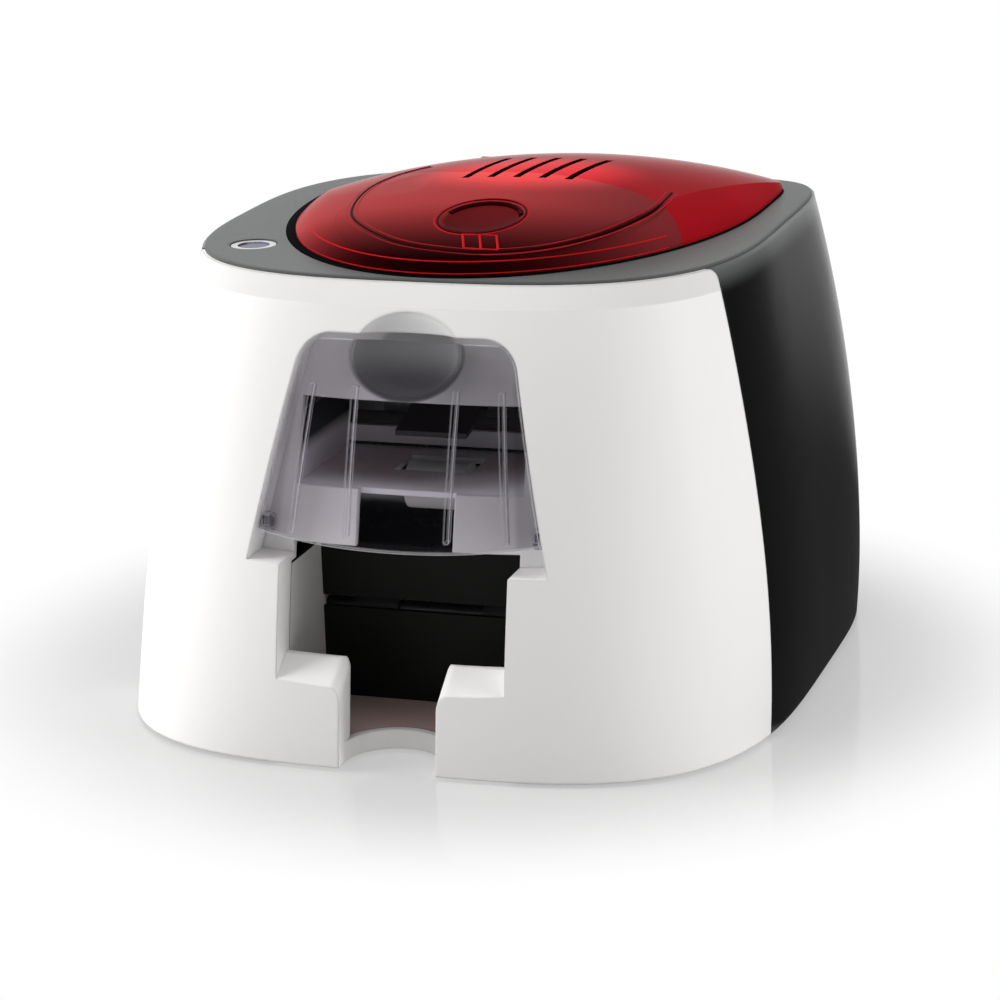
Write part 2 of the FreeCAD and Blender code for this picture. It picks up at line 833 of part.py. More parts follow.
def front_casing():
    skin = common(casing_skin, seam_side(True))
    surround_form = casing(SIZES["bay_surround_depth"])
    surround = cut(common(outer_form, box(-bay_side, bay_side, -FAR, recess_back, S.casing_bottom,
                                          S.recess_floor_level)), surround_form)
    tub_form = casing(SIZES["recess_depth"] + SIZES["recess_wall"])
    tub = cut(common(outer_form, recess_prism(S.recess_wall, S.recess_floor_level - S.recess_wall)), tub_form)
    cup = cut(common(outer_form, dish(S.casing_wall)), cover_swing(ZERO))
    whole = fuse(skin, surround, tub, cup)
    pocket_form = casing(SIZES["recess_depth"])
    pocket = cut(recess_prism(ZERO, S.recess_floor_level), pocket_form)
    mouth = box(-bay_half, bay_half, -FAR, recess_back, S.mouth_bottom_level, S.mouth_top_level)
    finger_way = box(-gap_half, gap_half, -FAR, recess_back, -S.overrun, S.mouth_bottom_level + S.casing_wall)
    lip_back = -(S.lip_front_reach - S.bay_surround_depth)
    lip_top = S.lip_front_level + S.lip_rise
    bay_mouth = prism("YZ", -bay_half, TWO * bay_half, [
        (-FAR, S.lip_front_level), (-S.lip_front_reach, S.lip_front_level), (lip_back, lip_top),
        (recess_back, lip_top), (recess_back, S.bay_top_level), (-FAR, S.bay_top_level),
    ])
    top_trim = box(-FAR, FAR, -FAR, FAR, shoulder_seat, S.crown_top)
    pin_hole = rod_x(-S.cover_pin_outer, S.cover_pin_outer, -S.cover_pivot_reach, S.cover_pivot_level,
                     S.cover_pin_radius + S.running_gap)
    shell = cut(whole, pocket, mouth, finger_way, bay_mouth, dish(ZERO), top_trim, pin_hole,
                lip_corner(ONE.value), lip_corner(-ONE.value))
    return fuse(shell, notch_wall())


part("front_casing", front_casing())


# Rear casing

def rear_openings():
    """Slots and socket holes in the rear wall."""
    tools = []
    for step in range(int(SIZES["rear_vent_count"])):
        place = Size(str(step), float(step)) - half(S.rear_vent_count - ONE)
        x = place * S.rear_vent_pitch
        tools.append(box(x - half(S.rear_vent_width), x + half(S.rear_vent_width), S.frame_rear, FAR,
                         S.rear_vent_bottom, S.rear_vent_bottom + S.rear_vent_height))
    socket_foot = S.board_level + S.board_thickness
    for x, width, height in ((S.usb_offset, S.usb_width, S.usb_height),
                             (S.inlet_offset, S.inlet_width, S.inlet_height)):
        side = half(width) + S.socket_room
        tools.append(box(x - side, x + side, S.board_rear, FAR, socket_foot - S.socket_room,
                         socket_foot + height + S.socket_room))
    return tools


boss_places = [(S.boss_offset, -S.boss_front), (S.boss_offset, S.boss_rear),
               (-S.boss_offset, -S.boss_front), (-S.boss_offset, S.boss_rear)]


def rear_casing():
    skin = common(casing_skin, seam_side(False))
    bosses = []
    for x, y in boss_places:
        wall = S.waist_half_width if x.value > 0 else -S.waist_half_width
        bosses.append(boss(x, y, wall))
    whole = fuse(skin, common(within_wall, fuse(*bosses)))
    top_trim = box(-FAR, FAR, -FAR, FAR, shoulder_seat, S.crown_top)
    screw_holes = [rod_z(x, y, -S.overrun, S.boss_height, S.screw_radius) for x, y in boss_places]
    return cut(whole, top_trim, *screw_holes, *rear_openings())


part("rear_casing", rear_casing())


# Top deck with the hinge knuckles and the button's seat

deck_low = S.shoulder_level - S.deck_thickness
bezel_seat = S.shoulder_level - S.bezel_sink
lid_left = S.lid_middle - S.deck_mouth_half_width
lid_right = S.lid_middle + S.deck_mouth_half_width


def knuckles(start, grow_level, reach_y):
    """Hinge knuckles on both sides of the middle, with a foot that reaches to the piece they stand on."""
    items = []
    for x0, x1 in ((start, start + S.knuckle_length), (-(start + S.knuckle_length), -start)):
        items.append(rod_x(x0, x1, S.hinge_place, S.hinge_level, S.knuckle_radius))
        items.append(box(x0, x1, *reach_y, *grow_level))
    return items


def top_deck():
    posts = [rod_z(x, y, S.button_board_level + S.board_thickness, deck_low, S.button_post_radius)
             for x, y in button_posts]
    feet = knuckles(S.knuckle_start, (deck_low, S.hinge_level),
                    (S.hinge_place - S.knuckle_radius, S.hinge_place + S.knuckle_radius))
    corner = S.deck_mouth_corner
    low, high = deck_low - S.overrun, SKY
    mouth = fuse(
        box(lid_left + corner, lid_right - corner, -S.deck_mouth_front, S.deck_mouth_rear, low, high),
        box(lid_left, lid_right, corner - S.deck_mouth_front, S.deck_mouth_rear - corner, low, high),
        *[rod_z(x, y, low, high, corner)
          for x in (lid_left + corner, lid_right - corner)
          for y in (corner - S.deck_mouth_front, S.deck_mouth_rear - corner)],
    )
    seat = fuse(rod_z(-S.button_offset, -S.button_place, low, high, S.bezel_inner_radius + S.running_gap),
                rod_z(-S.button_offset, -S.button_place, bezel_seat, high, S.bezel_radius + S.bezel_room))
    sheets = []
    for form, bottom, top in ((casing(SIZES["deck_flange_margin"]), shoulder_seat, S.shoulder_level),
                              (fitting_form, deck_low, shoulder_seat)):
        sheets.append(common(form, cut(box(-FAR, FAR, -FAR, FAR, bottom, top), mouth, seat)))
    pin_hole = rod_x(-FAR, FAR, S.hinge_place, S.hinge_level, S.hinge_pin_radius + S.running_gap)
    return cut(fuse(*sheets, *posts, *feet), pin_hole)


post_side = half(S.button_board_side) - S.button_post_radius
button_posts = [(-S.button_offset + post_side, -S.button_place + post_side),
                (-S.button_offset - post_side, -S.button_place + post_side),
                (-S.button_offset + post_side, -S.button_place - post_side),
                (-S.button_offset - post_side, -S.button_place - post_side)]
part("top_deck", top_deck())


# Button, its bright bezel and the board beneath

def button_bezel():
    top = bezel_seat + S.bezel_height
    ring = fuse(rod_z(-S.button_offset, -S.button_place, bezel_seat, top, S.bezel_radius),
                rod_z(-S.button_offset, -S.button_place, deck_low, top, S.bezel_inner_radius))
    bore = rod_z(-S.button_offset, -S.button_place, deck_low - S.overrun, SKY, S.button_radius)
    return cut(ring, bore)


def power_button():
    top = bezel_seat + half(S.bezel_height)
    cap = rod_z(-S.button_offset, -S.button_place, top - S.button_thickness, top,
                S.button_radius - S.running_gap * TWO)
    foot = S.button_board_level + S.board_thickness + S.button_travel + S.assembly_gap
    stem = rod_z(-S.button_offset, -S.button_place, foot, top, S.button_stem_radius)
    return fuse(cap, stem)


part("button_bezel", button_bezel())
part("power_button", power_button())
board_side = half(S.button_board_side)
part("button_board", box(-S.button_offset - board_side, -S.button_offset + board_side,
                         -S.button_place - board_side, -S.button_place + board_side,
                         S.button_board_level, S.button_board_level + S.board_thickness))


# Base tray, feet and screws

base_top = S.casing_bottom + S.base_thickness
wall_room = S.casing_wall + S.assembly_gap


def base_tray():
    plate = box(-FAR, FAR, -FAR, FAR, S.casing_bottom, base_top)
    surround_room = box(-bay_side - S.assembly_gap, bay_side + S.assembly_gap, -FAR,
                       -(S.bottom_front - S.bay_surround_depth - S.bay_wall), -S.overrun, FAR)
    holes = [rod_z(x, y, -S.overrun, S.overrun, S.screw_radius + S.running_gap) for x, y in boss_places]
    return common(fitting_form, cut(plate, surround_room, finger_notch(-S.overrun, FAR, wall_room), *holes))


part("base_tray", base_tray())
foot_places = [(x, y) for x in (-S.foot_offset, S.foot_offset) for y in (-S.foot_front, S.foot_rear)]
part("rubber_feet", group(*[rod_z(x, y, ZERO, S.casing_bottom, S.foot_radius) for x, y in foot_places]))


def case_screw(x, y):
    head = rod_z(x, y, S.casing_bottom - S.screw_head_height, S.casing_bottom, S.screw_head_radius)
    shank = rod_z(x, y, S.casing_bottom, base_top + half(S.boss_height), S.screw_radius)
    return fuse(head, shank)


part("case_screws", group(*[case_screw(x, y) for x, y in boss_places]))


# Bay liner: the floor, walls and back of the output bay

bay_back = -(S.bottom_front - S.bay_depth)
liner_side = bay_half + S.bay_liner_wall


def bay_liner():
    form = casing(SIZES["bay_surround_depth"] + SIZES["assembly_gap"])
    block = box(-liner_side, liner_side, -FAR, bay_back + S.bay_liner_wall, S.bay_floor_underside,
                S.bay_liner_top)
    hollow = box(-bay_half, bay_half, -FAR, bay_back, S.bay_floor_level, FAR)
    slot = box(-bay_half, bay_half, bay_back - S.overrun, bay_back + S.overrun, S.exit_slot_bottom,
               S.exit_slot_bottom + S.exit_slot_height)
    return cut(common(block, form), hollow, slot, finger_notch(-S.overrun, FAR, wall_room))


part("bay_liner", bay_liner())


# Card feeder: a flat bed behind the loading mouth, with a gate that lets one card through

path_level = S.mouth_bottom_level + S.path_lift
feeder_side = bay_half + S.feeder_wall
bed_low = S.mouth_bottom_level - S.feeder_floor


def feeder_tray():
    form = casing(SIZES["recess_depth"] + SIZES["recess_wall"] + SIZES["assembly_gap"])
    block = box(-feeder_side, feeder_side, -FAR, -S.feeder_rear, bed_low, S.feeder_wall_top)
    ears = box(-S.frame_inner, S.frame_inner, -(S.feeder_rear + S.feeder_ear_length), -S.feeder_rear,
               bed_low, S.gate_top)
    hollow = box(-bay_half, bay_half, -FAR, FAR, S.mouth_bottom_level, FAR)
    gate = box(-bay_half, bay_half, -S.feeder_rear - S.gate_thickness, -S.feeder_rear,
               path_level + S.gate_room, S.gate_top)
    window_reach = S.pick_radius + S.pick_window_room
    window = box(-S.pick_window_half_width, S.pick_window_half_width, -(S.pick_place + window_reach),
                 -(S.pick_place - window_reach), bed_low - S.overrun, FAR)
    press_bore = rod_x(-FAR, FAR, -S.press_pivot_place, S.press_pivot_level, S.pinch_shaft_radius + S.running_gap)
    return cut(fuse(cut(common(fuse(block, ears), form), hollow), gate), window, press_bore)


part("feeder_tray", feeder_tray())


def card_press():
    """A light arm that hangs from a cross shaft and holds the cards on the pick roller."""
    shaft = rod_x(-feeder_side, feeder_side, -S.press_pivot_place, S.press_pivot_level, S.pinch_shaft_radius)
    low = S.press_pivot_level - S.press_droop
    arm = prism("YZ", -S.press_half_width, TWO * S.press_half_width, [
        (-S.press_pivot_place + S.press_thickness, S.press_pivot_level - S.press_thickness),
        (-S.press_pivot_place + S.press_thickness, S.press_pivot_level + S.press_thickness),
        (-S.press_pivot_place - S.press_thickness, S.press_pivot_level + S.press_thickness),
        (-S.press_pivot_place - S.press_reach, low),
        (-S.press_pivot_place - S.press_reach, low - S.press_thickness),
    ])
    return fuse(shaft, arm)


part("card_press", card_press())


# Places of the shafts, seen from the side: how far back, and how high

class Place:
    """A point of the YZ plane."""

    def __init__(self, y, z):
        self.y = y
        self.z = z


def pitch_radius(teeth):
    return half(teeth) * S.gear_module


def meshing_point(first, second, first_reach, second_reach, side):
    """Where an idler sits that keeps its distance from two others. The side picks one of the two places."""
    dy, dz = second.y - first.y, second.z - first.z
    apart = root(dy * dy + dz * dz)
    along = (first_reach * first_reach - second_reach * second_reach + apart * apart) / (TWO * apart)
    across = root(first_reach * first_reach - along * along) * side
    return Place(first.y + (dy * along - dz * across) / apart, first.z + (dz * along + dy * across) / apart)


LEFT = ONE
RIGHT = -ONE
platen = Place(S.platen_place, path_level - S.platen_radius)
feed = Place(-S.feed_place, path_level - S.feed_radius)
pick = Place(-S.pick_place, S.mouth_bottom_level + S.pick_protrusion - S.pick_radius)
leave = Place(-S.exit_place, S.exit_path_level - S.exit_radius)
feed_pinch = Place(feed.y, path_level + S.card_thickness + S.feed_pinch_radius)
exit_pinch = Place(leave.y, S.exit_path_level + S.card_thickness + S.exit_pinch_radius)
motor = Place(S.motor_place, S.motor_level)
ribbon_motor = Place(-S.ribbon_motor_place, S.ribbon_motor_level)
takeup = Place(-S.takeup_place, S.takeup_level)
supply = Place(S.supply_place, S.supply_level)
radius_of = {name: pitch_radius(getattr(S, name + "_teeth")) for name in (
    "pinion", "drive_idler", "platen", "feed_idler", "feed", "pick_idler", "pick", "ribbon_idler", "takeup")}
drive_idler = meshing_point(platen, motor, radius_of["platen"] + radius_of["drive_idler"],
                            radius_of["pinion"] + radius_of["drive_idler"], LEFT)
feed_idler = meshing_point(feed, platen, radius_of["feed"] + radius_of["feed_idler"],
                           radius_of["platen"] + radius_of["feed_idler"], RIGHT)
pick_idler = meshing_point(pick, feed, radius_of["pick"] + radius_of["pick_idler"],
                           radius_of["feed"] + radius_of["pick_idler"], RIGHT)
ribbon_idler = meshing_point(ribbon_motor, takeup, radius_of["pinion"] + radius_of["ribbon_idler"],
                             radius_of["takeup"] + radius_of["ribbon_idler"], RIGHT)
frame_outer = S.frame_inner + S.frame_thickness
gear_start = frame_outer + S.gear_gap
gear_end = gear_start + S.gear_width
bush_bore = S.shaft_radius + S.running_gap
shaft_tip = frame_outer + S.shaft_overhang


# Side frames, tie rods, bushes and gear studs

def frame_holes(side_places):
    places = [(spot, S.bush_radius) for spot in (platen, feed, pick, leave, takeup, supply)]
    places += [(spot, S.pinch_shaft_radius + S.running_gap) for spot in (feed_pinch, exit_pinch)]
    return [(spot.y, spot.z, radius) for spot, radius in places + side_places]


frame_outline = [
    (-S.frame_front_low, S.frame_bottom), (S.frame_rear, S.frame_bottom), (S.frame_rear, S.frame_rear_top),
    (S.frame_rear_brow, S.frame_top), (-S.frame_brow, S.frame_top), (-S.frame_front_high, S.frame_front_top),
    (-S.frame_front_high, S.frame_shelf_level), (-S.frame_front_low, S.frame_shelf_level),
]
part("side_frame_right", plate_x("Right_frame", S.frame_inner, S.frame_thickness, frame_outline,
                                 frame_holes([(motor, S.motor_boss_radius)])))
part("side_frame_left", plate_x("Left_frame", -frame_outer, S.frame_thickness, frame_outline,
                                frame_holes([(ribbon_motor, S.ribbon_motor_boss_radius)])))
rod_places = [(S.frame_rear - S.bush_radius * TWO, S.frame_bottom + S.bush_radius * TWO),
              (S.frame_rear - S.bush_radius * TWO, S.chest_level),
              (-S.frame_front_low + S.bush_radius, S.frame_bottom + S.bush_radius * TWO)]
part("frame_rods", group(*[rod_x(-S.frame_inner, S.frame_inner, y, z, S.rod_radius) for y, z in rod_places]))
bushed = (platen, feed, pick, leave, takeup, supply)
bushes = []
for spot in bushed:
    for start in (-frame_outer - S.bush_lip, S.frame_inner - S.bush_lip):
        bushes.append(ring_x(start, start + S.bush_length, spot.y, spot.z, S.bush_radius, bush_bore))
part("shaft_bushes", group(*bushes))


def gear_stud(spot, side):
    tip = gear_end + S.stud_head_length + S.running_gap
    head = rod_x(*sorted_pair(tip * side, (gear_end + S.running_gap) * side), spot.y, spot.z, S.stud_head_radius)
    post = rod_x(*sorted_pair(frame_outer * side, tip * side), spot.y, spot.z, S.stud_radius)
    collar = rod_x(*sorted_pair(frame_outer * side, (gear_start - S.running_gap) * side), spot.y, spot.z,
                   S.stud_head_radius)
    return fuse(head, post, collar)


part("gear_studs", group(*[gear_stud(spot, ONE) for spot in (drive_idler, feed_idler, pick_idler)],
                         gear_stud(ribbon_idler, -ONE)))


# Gears

def gear_outline(teeth):
    """Involute teeth, thinned for backlash, as short straight runs. A tooth points along the first axis."""
    module = SIZES["gear_module"]
    pitch = teeth * module / 2
    base = pitch * math.cos(PRESSURE_ANGLE)
    tip = pitch + module
    bottom = pitch - module - SIZES["tooth_clearance"] * module
    half_tooth = (math.pi * module / 2 - SIZES["tooth_thinning"] * module) / (2 * pitch)
    at_pitch = math.tan(PRESSURE_ANGLE) - PRESSURE_ANGLE
    flank = []
    start = max(base, bottom)
    for step in range(FLANK_POINTS):
        radius = start + (tip - start) * step / (FLANK_POINTS - 1)
        pressure = math.acos(min(1, base / radius))
        flank.append((radius, half_tooth + at_pitch - (math.tan(pressure) - pressure)))
    points = []
    for tooth in range(teeth):
        middle = 2 * math.pi * tooth / teeth
        side = [(bottom, flank[0][1])] + flank if bottom < start else flank
        turns = [(radius, middle - turn) for radius, turn in side]
        turns += [(radius, middle + turn) for radius, turn in reversed(side)]
        points += [FreeCAD.Vector(r * math.cos(a), r * math.sin(a), 0) for r, a in turns]
    return points


def gear(name, spot, teeth, phase, side, bore):
    """A spur gear with a thinner web. Its phase is the turn of one tooth from +Y towards +Z."""
    points = gear_outline(int(teeth.value))
    face = Part.Face(Part.makePolygon(points + points[:1]))
    width = SIZES["gear_width"]
    shape = face.extrude(FreeCAD.Vector(0, 0, width))
    shape = shape.cut(Part.makeCylinder(bore.value, width))
    rim = teeth.value * SIZES["gear_module"] / 2 - SIZES["gear_module"] - SIZES["gear_rim"]
    recess = SIZES["gear_web_recess"]
    if rim > SIZES["gear_hub_radius"] + recess:
        pan = Part.makeCylinder(rim, recess).cut(Part.makeCylinder(SIZES["gear_hub_radius"], recess))
        upper = pan.copy()
        upper.translate(FreeCAD.Vector(0, 0, width - recess))
        shape = shape.cut(pan).cut(upper)
    item = coded(name, shape)
    start = gear_start if side > 0 else -gear_end
    turn = PLANE_TURNS["YZ"].multiply(FreeCAD.Rotation(FreeCAD.Vector(0, 0, 1), math.degrees(phase)))
    return put(item, start, spot.y, spot.z, turn)


def meshed_phase(driver, driver_teeth, driver_phase, follower, follower_teeth):
    """The turn at which the follower's teeth stand in the driver's gaps."""
    toward = math.atan2(follower.z.value - driver.z.value, follower.y.value - driver.y.value)
    module = SIZES["gear_module"]
    shift = (driver_phase - toward) * driver_teeth.value * module / 2
    return toward + math.pi - (shift + math.pi * module / 2) / (follower_teeth.value * module / 2)


def pinion(name, spot, side, shaft_stop):
    """A pinion cut on the end of its motor's shaft."""
    wheel = gear(name + "_teeth", spot, S.pinion_teeth, phase_of["pinion"], side, S.motor_shaft_radius)
    shaft_start, shaft_end = (shaft_stop, gear_end) if side > 0 else (-gear_end, -shaft_stop)
    return fuse(wheel, rod_x(shaft_start, shaft_end, spot.y, spot.z, S.motor_shaft_radius))


motor_back = S.frame_inner - S.motor_length
motor_stop = motor_back + S.motor_back_wall + S.assembly_gap
ribbon_motor_stop = S.frame_inner - S.ribbon_motor_length + S.motor_back_wall
stud_bore = S.stud_radius + S.running_gap
phase_of = {"pinion": 0.0}
drive_train = [
    ("pinion", motor, "drive_idler", drive_idler), ("drive_idler", drive_idler, "platen", platen),
    ("platen", platen, "feed_idler", feed_idler), ("feed_idler", feed_idler, "feed", feed),
    ("feed", feed, "pick_idler", pick_idler), ("pick_idler", pick_idler, "pick", pick),
    ("pinion", ribbon_motor, "ribbon_idler", ribbon_idler), ("ribbon_idler", ribbon_idler, "takeup", takeup),
]
for driver, driver_spot, follower, follower_spot in drive_train:
    phase_of[follower] = meshed_phase(driver_spot, getattr(S, driver + "_teeth"), phase_of[driver],
                                      follower_spot, getattr(S, follower + "_teeth"))
for label, spot, key, side, bore in (
    ("drive_idler_gear", drive_idler, "drive_idler", 1, stud_bore),
    ("platen_gear", platen, "platen", 1, S.shaft_radius),
    ("feed_idler_gear", feed_idler, "feed_idler", 1, stud_bore),
    ("feed_gear", feed, "feed", 1, S.shaft_radius),
    ("pick_idler_gear", pick_idler, "pick_idler", 1, stud_bore),
    ("pick_gear", pick, "pick", 1, S.shaft_radius),
    ("ribbon_idler_gear", ribbon_idler, "ribbon_idler", -1, stud_bore),
    ("takeup_gear", takeup, "takeup", -1, S.shaft_radius),
):
    part(label, gear(label, spot, getattr(S, key + "_teeth"), phase_of[key], side, bore))
part("motor_pinion", pinion("Drive_pinion", motor, 1, motor_stop))
part("ribbon_pinion", pinion("Ribbon_pinion", ribbon_motor, -1, ribbon_motor_stop + S.assembly_gap))


# Rollers

def tyre(spot, start, end, radius):
    return ring_x(start, end, spot.y, spot.z, radius, S.shaft_radius)


part("platen_shaft", turned_x("Platen_shaft", platen.y, platen.z, [(-shaft_tip, gear_end, S.shaft_radius)]))
part("platen_sleeve", tyre(platen, -bay_half, bay_half, S.platen_radius))
pulley_start = gear_end + S.pulley_gap
pulley_end = pulley_start + S.pulley_width
part("feed_shaft", turned_x("Feed_shaft", feed.y, feed.z, [(-shaft_tip, pulley_end, S.shaft_radius)]))
feed_tyre_half = half(S.feed_tyre_length)
part("feed_tyres", group(*[tyre(feed, place - feed_tyre_half, place + feed_tyre_half, S.feed_radius)
                           for place in (-S.feed_tyre_place, S.feed_tyre_place)]))
part("pick_shaft", turned_x("Pick_shaft", pick.y, pick.z, [(-shaft_tip, gear_end, S.shaft_radius)]))
pick_tyre_half = half(S.pick_tyre_length)
part("pick_tyre", tyre(pick, -pick_tyre_half, pick_tyre_half, S.pick_radius))
part("exit_shaft", turned_x("Exit_shaft", leave.y, leave.z, [(-shaft_tip, pulley_end, S.shaft_radius)]))
part("exit_tyres", group(*[tyre(leave, place - feed_tyre_half, place + feed_tyre_half, S.exit_radius)
                           for place in (-S.feed_tyre_place, S.feed_tyre_place)]))


def pinch_roller(name, spot, radius):
    inner = S.frame_inner - S.pinch_end_room
    return turned_x(name, spot.y, spot.z, [
        (-frame_outer, -inner, S.pinch_shaft_radius), (-inner, inner, radius),
        (inner, frame_outer, S.pinch_shaft_radius),
    ])


part("feed_pinch_roller", pinch_roller("Feed_pinch", feed_pinch, S.feed_pinch_radius))
part("exit_pinch_roller", pinch_roller("Exit_pinch", exit_pinch, S.exit_pinch_radius))


# Belt and pulleys

def pulley(name, spot):
    inner_end = pulley_start + S.pulley_flange
    outer_start = pulley_end - S.pulley_flange
    wheel = turned_x(name, spot.y, spot.z, [
        (pulley_start, inner_end, S.pulley_flange_radius), (inner_end, outer_start, S.pulley_radius),
        (outer_start, pulley_end, S.pulley_flange_radius),
    ])
    return cut(wheel, rod_x(gear_start, pulley_end + S.overrun, spot.y, spot.z, S.shaft_radius))


part("feed_pulley", pulley("Feed_pulley_form", feed))
part("exit_pulley", pulley("Exit_pulley_form", leave))


def belt_loop(radius, start, length):
    """The space within a belt that runs round both pulleys."""
    dy, dz = leave.y - feed.y, leave.z - feed.z
    apart = root(dy * dy + dz * dz)
    shift_y, shift_z = -dz * radius / apart, dy * radius / apart
    band = prism("YZ", start, length, [
        (feed.y + shift_y, feed.z + shift_z), (leave.y + shift_y, leave.z + shift_z),
        (leave.y - shift_y, leave.z - shift_z), (feed.y - shift_y, feed.z - shift_z),
    ])
    return fuse(band, *[rod_x(start, start + length, spot.y, spot.z, radius) for spot in (feed, leave)])


belt_start = pulley_start + half(S.pulley_width - S.belt_width)
belt_inner = S.pulley_radius + S.belt_gap
part("exit_belt", cut(belt_loop(belt_inner + S.belt_thickness, belt_start, S.belt_width),
                      belt_loop(belt_inner, belt_start - S.overrun, S.belt_width + TWO * S.overrun)))


# Card chute, down from the rear of the path to the exit rollers

chute_drop = S.chute_thickness
part("card_chute", prism("YZ", -S.frame_inner, TWO * S.frame_inner, [
    (-S.chute_front, S.chute_front_level - chute_drop), (S.chute_rear, S.chute_rear_level - chute_drop),
    (S.chute_rear, S.chute_rear_level), (-S.chute_front, S.chute_front_level),
]))


# Motors

motor_half = half(S.motor_side)


def drive_motor():
    side = motor_half - S.motor_corner
    blocks = [box(motor_back, S.frame_inner, motor.y - wide, motor.y + wide, motor.z - tall, motor.z + tall)
              for wide, tall in ((motor_half, side), (side, motor_half))]
    corners = [rod_x(motor_back, S.frame_inner, motor.y + y, motor.z + z, S.motor_corner)
               for y in (-side, side) for z in (-side, side)]
    rim = rod_x(S.frame_inner, frame_outer, motor.y, motor.z, S.motor_boss_radius - S.running_gap)
    bore = rod_x(motor_back + S.motor_back_wall, frame_outer + S.overrun, motor.y, motor.z,
                 S.motor_shaft_radius + S.running_gap)
    return cut(fuse(*blocks, *corners, rim), bore)


part("drive_motor", drive_motor())


def small_motor():
    can = rod_x(-S.frame_inner, S.ribbon_motor_length - S.frame_inner, ribbon_motor.y, ribbon_motor.z,
                S.ribbon_motor_radius)
    rim = rod_x(-frame_outer, -S.frame_inner, ribbon_motor.y, ribbon_motor.z,
                S.ribbon_motor_boss_radius - S.running_gap)
    bore = rod_x(-frame_outer - S.overrun, -ribbon_motor_stop, ribbon_motor.y, ribbon_motor.z,
                 S.motor_shaft_radius + S.running_gap)
    return cut(fuse(can, rim), bore)


part("ribbon_motor", small_motor())


# Ribbon spindles and rolls

def spindle(name, spot, left_end, right_end):
    inner = S.frame_inner - S.spindle_end_room
    return turned_x(name, spot.y, spot.z, [
        (-left_end, -inner, S.shaft_radius), (-inner, inner, S.spindle_radius),
        (inner, right_end, S.shaft_radius),
    ])


def ribbon_roll(spot, radius):
    return ring_x(-S.ribbon_half_width, S.ribbon_half_width, spot.y, spot.z, radius, S.spindle_radius)


part("takeup_spindle", spindle("Takeup_spindle", takeup, gear_end, shaft_tip))
part("supply_spindle", spindle("Supply_spindle", supply, shaft_tip, shaft_tip))
part("takeup_roll", ribbon_roll(takeup, S.takeup_roll_radius))
part("supply_roll", ribbon_roll(supply, S.supply_roll_radius))


# Main board with its parts and sockets

board_top = S.board_level + S.board_thickness
part("main_board", box(-S.board_half_width, S.board_half_width, S.board_front, S.board_rear,
                       S.board_level, board_top))


def board_parts():
    """Standoffs below the board, and a chip, a plug block and capacitors on it."""
    inset = S.standoff_radius * TWO
    items = [rod_z(x, y, base_top, S.board_level, S.standoff_radius)
             for x in (inset - S.board_half_width, S.board_half_width - inset)
             for y in (S.board_front + inset, S.board_rear - inset)]
    middle = half(S.board_front + S.board_rear)
    chip = half(S.chip_side)
    items.append(box(-S.chip_offset - chip, -S.chip_offset + chip, middle - chip, middle + chip,
                     board_top, board_top + S.chip_height))
    plug = half(S.plug_block_width)
    items.append(box(-plug, plug, S.board_front, S.board_front + S.plug_block_depth, board_top,
                     board_top + S.plug_block_height))
    for step in (-ONE, ONE):
        y = middle + step * (S.capacitor_radius + S.assembly_gap)
        items.append(rod_z(-S.capacitor_offset, y, board_top, board_top + S.capacitor_height,
                           S.capacitor_radius))
    return group(*items)


part("board_parts", board_parts())


def usb_socket():
    side = half(S.usb_width)
    shell = box(S.usb_offset - side, S.usb_offset + side, S.socket_reach - S.usb_length, S.socket_reach,
                board_top, board_top + S.usb_height)
    wall = S.socket_wall
    hollow = box(S.usb_offset - side + wall, S.usb_offset + side - wall,
                 S.socket_reach - S.usb_length + wall, S.socket_reach + S.overrun,
                 board_top + wall, board_top + S.usb_height - wall)
    middle = board_top + half(S.usb_height)
    tongue = box(S.usb_offset - half(side), S.usb_offset + half(side), S.socket_reach - S.usb_length,
                 S.socket_reach - wall, middle - wall, middle + wall)
    return fuse(cut(shell, hollow), tongue)


def power_inlet():
    side = half(S.inlet_width)
    middle = board_top + half(S.inlet_height)
    shell = box(S.inlet_offset - side, S.inlet_offset + side, S.socket_reach - S.inlet_length,
                S.socket_reach, board_top, board_top + S.inlet_height)
    bore = rod_y(S.inlet_offset, S.socket_reach - S.inlet_length + S.socket_wall,
                 S.socket_reach + S.overrun, middle, S.inlet_bore_radius)
    pin = rod_y(S.inlet_offset, S.socket_reach - S.inlet_length, S.socket_reach - S.socket_wall, middle,
                half(half(S.inlet_bore_radius)))
    return fuse(cut(shell, bore), pin)


part("usb_socket", usb_socket())
part("power_inlet", power_inlet())


# Top cover: a crowned see-through dome with a dimple and slots, and its hinge arms and latch housing

def crown(inset):
    return ellipsoid(S.lid_middle + S.crown_offset, S.crown_place, S.crown_top - S.crown_height_radius,
                     S.crown_width_radius - inset, S.crown_length_radius - inset,
                     S.crown_height_radius - inset)


def crown_level(offset, y):
    """The height of the crown above a place, worked out from its three radii."""
    across = (offset - S.crown_offset) / S.crown_width_radius
    along = (y - S.crown_place) / S.crown_length_radius
    return S.crown_top - S.crown_height_radius * (ONE - root(ONE - across * across - along * along))


lid_low = S.shoulder_level + S.lid_gap
latch_middle = S.lid_middle + S.latch_offset


def dimple(grow):
    place = -S.dimple_place
    level = crown_level(S.dimple_offset, place)
    fall = SIZES["dimple_place"] + SIZES["crown_place"]
    lean = math.degrees(math.atan(fall * SIZES["crown_height_radius"] / SIZES["crown_length_radius"] ** 2))
    x = S.lid_middle + S.dimple_offset
    item = ellipsoid(x, place, level, S.dimple_half_width + grow, S.dimple_half_length + grow,
                     S.dimple_depth + grow)
    return put(item, x, place, level, FreeCAD.Rotation(FreeCAD.Vector(1, 0, 0), lean))


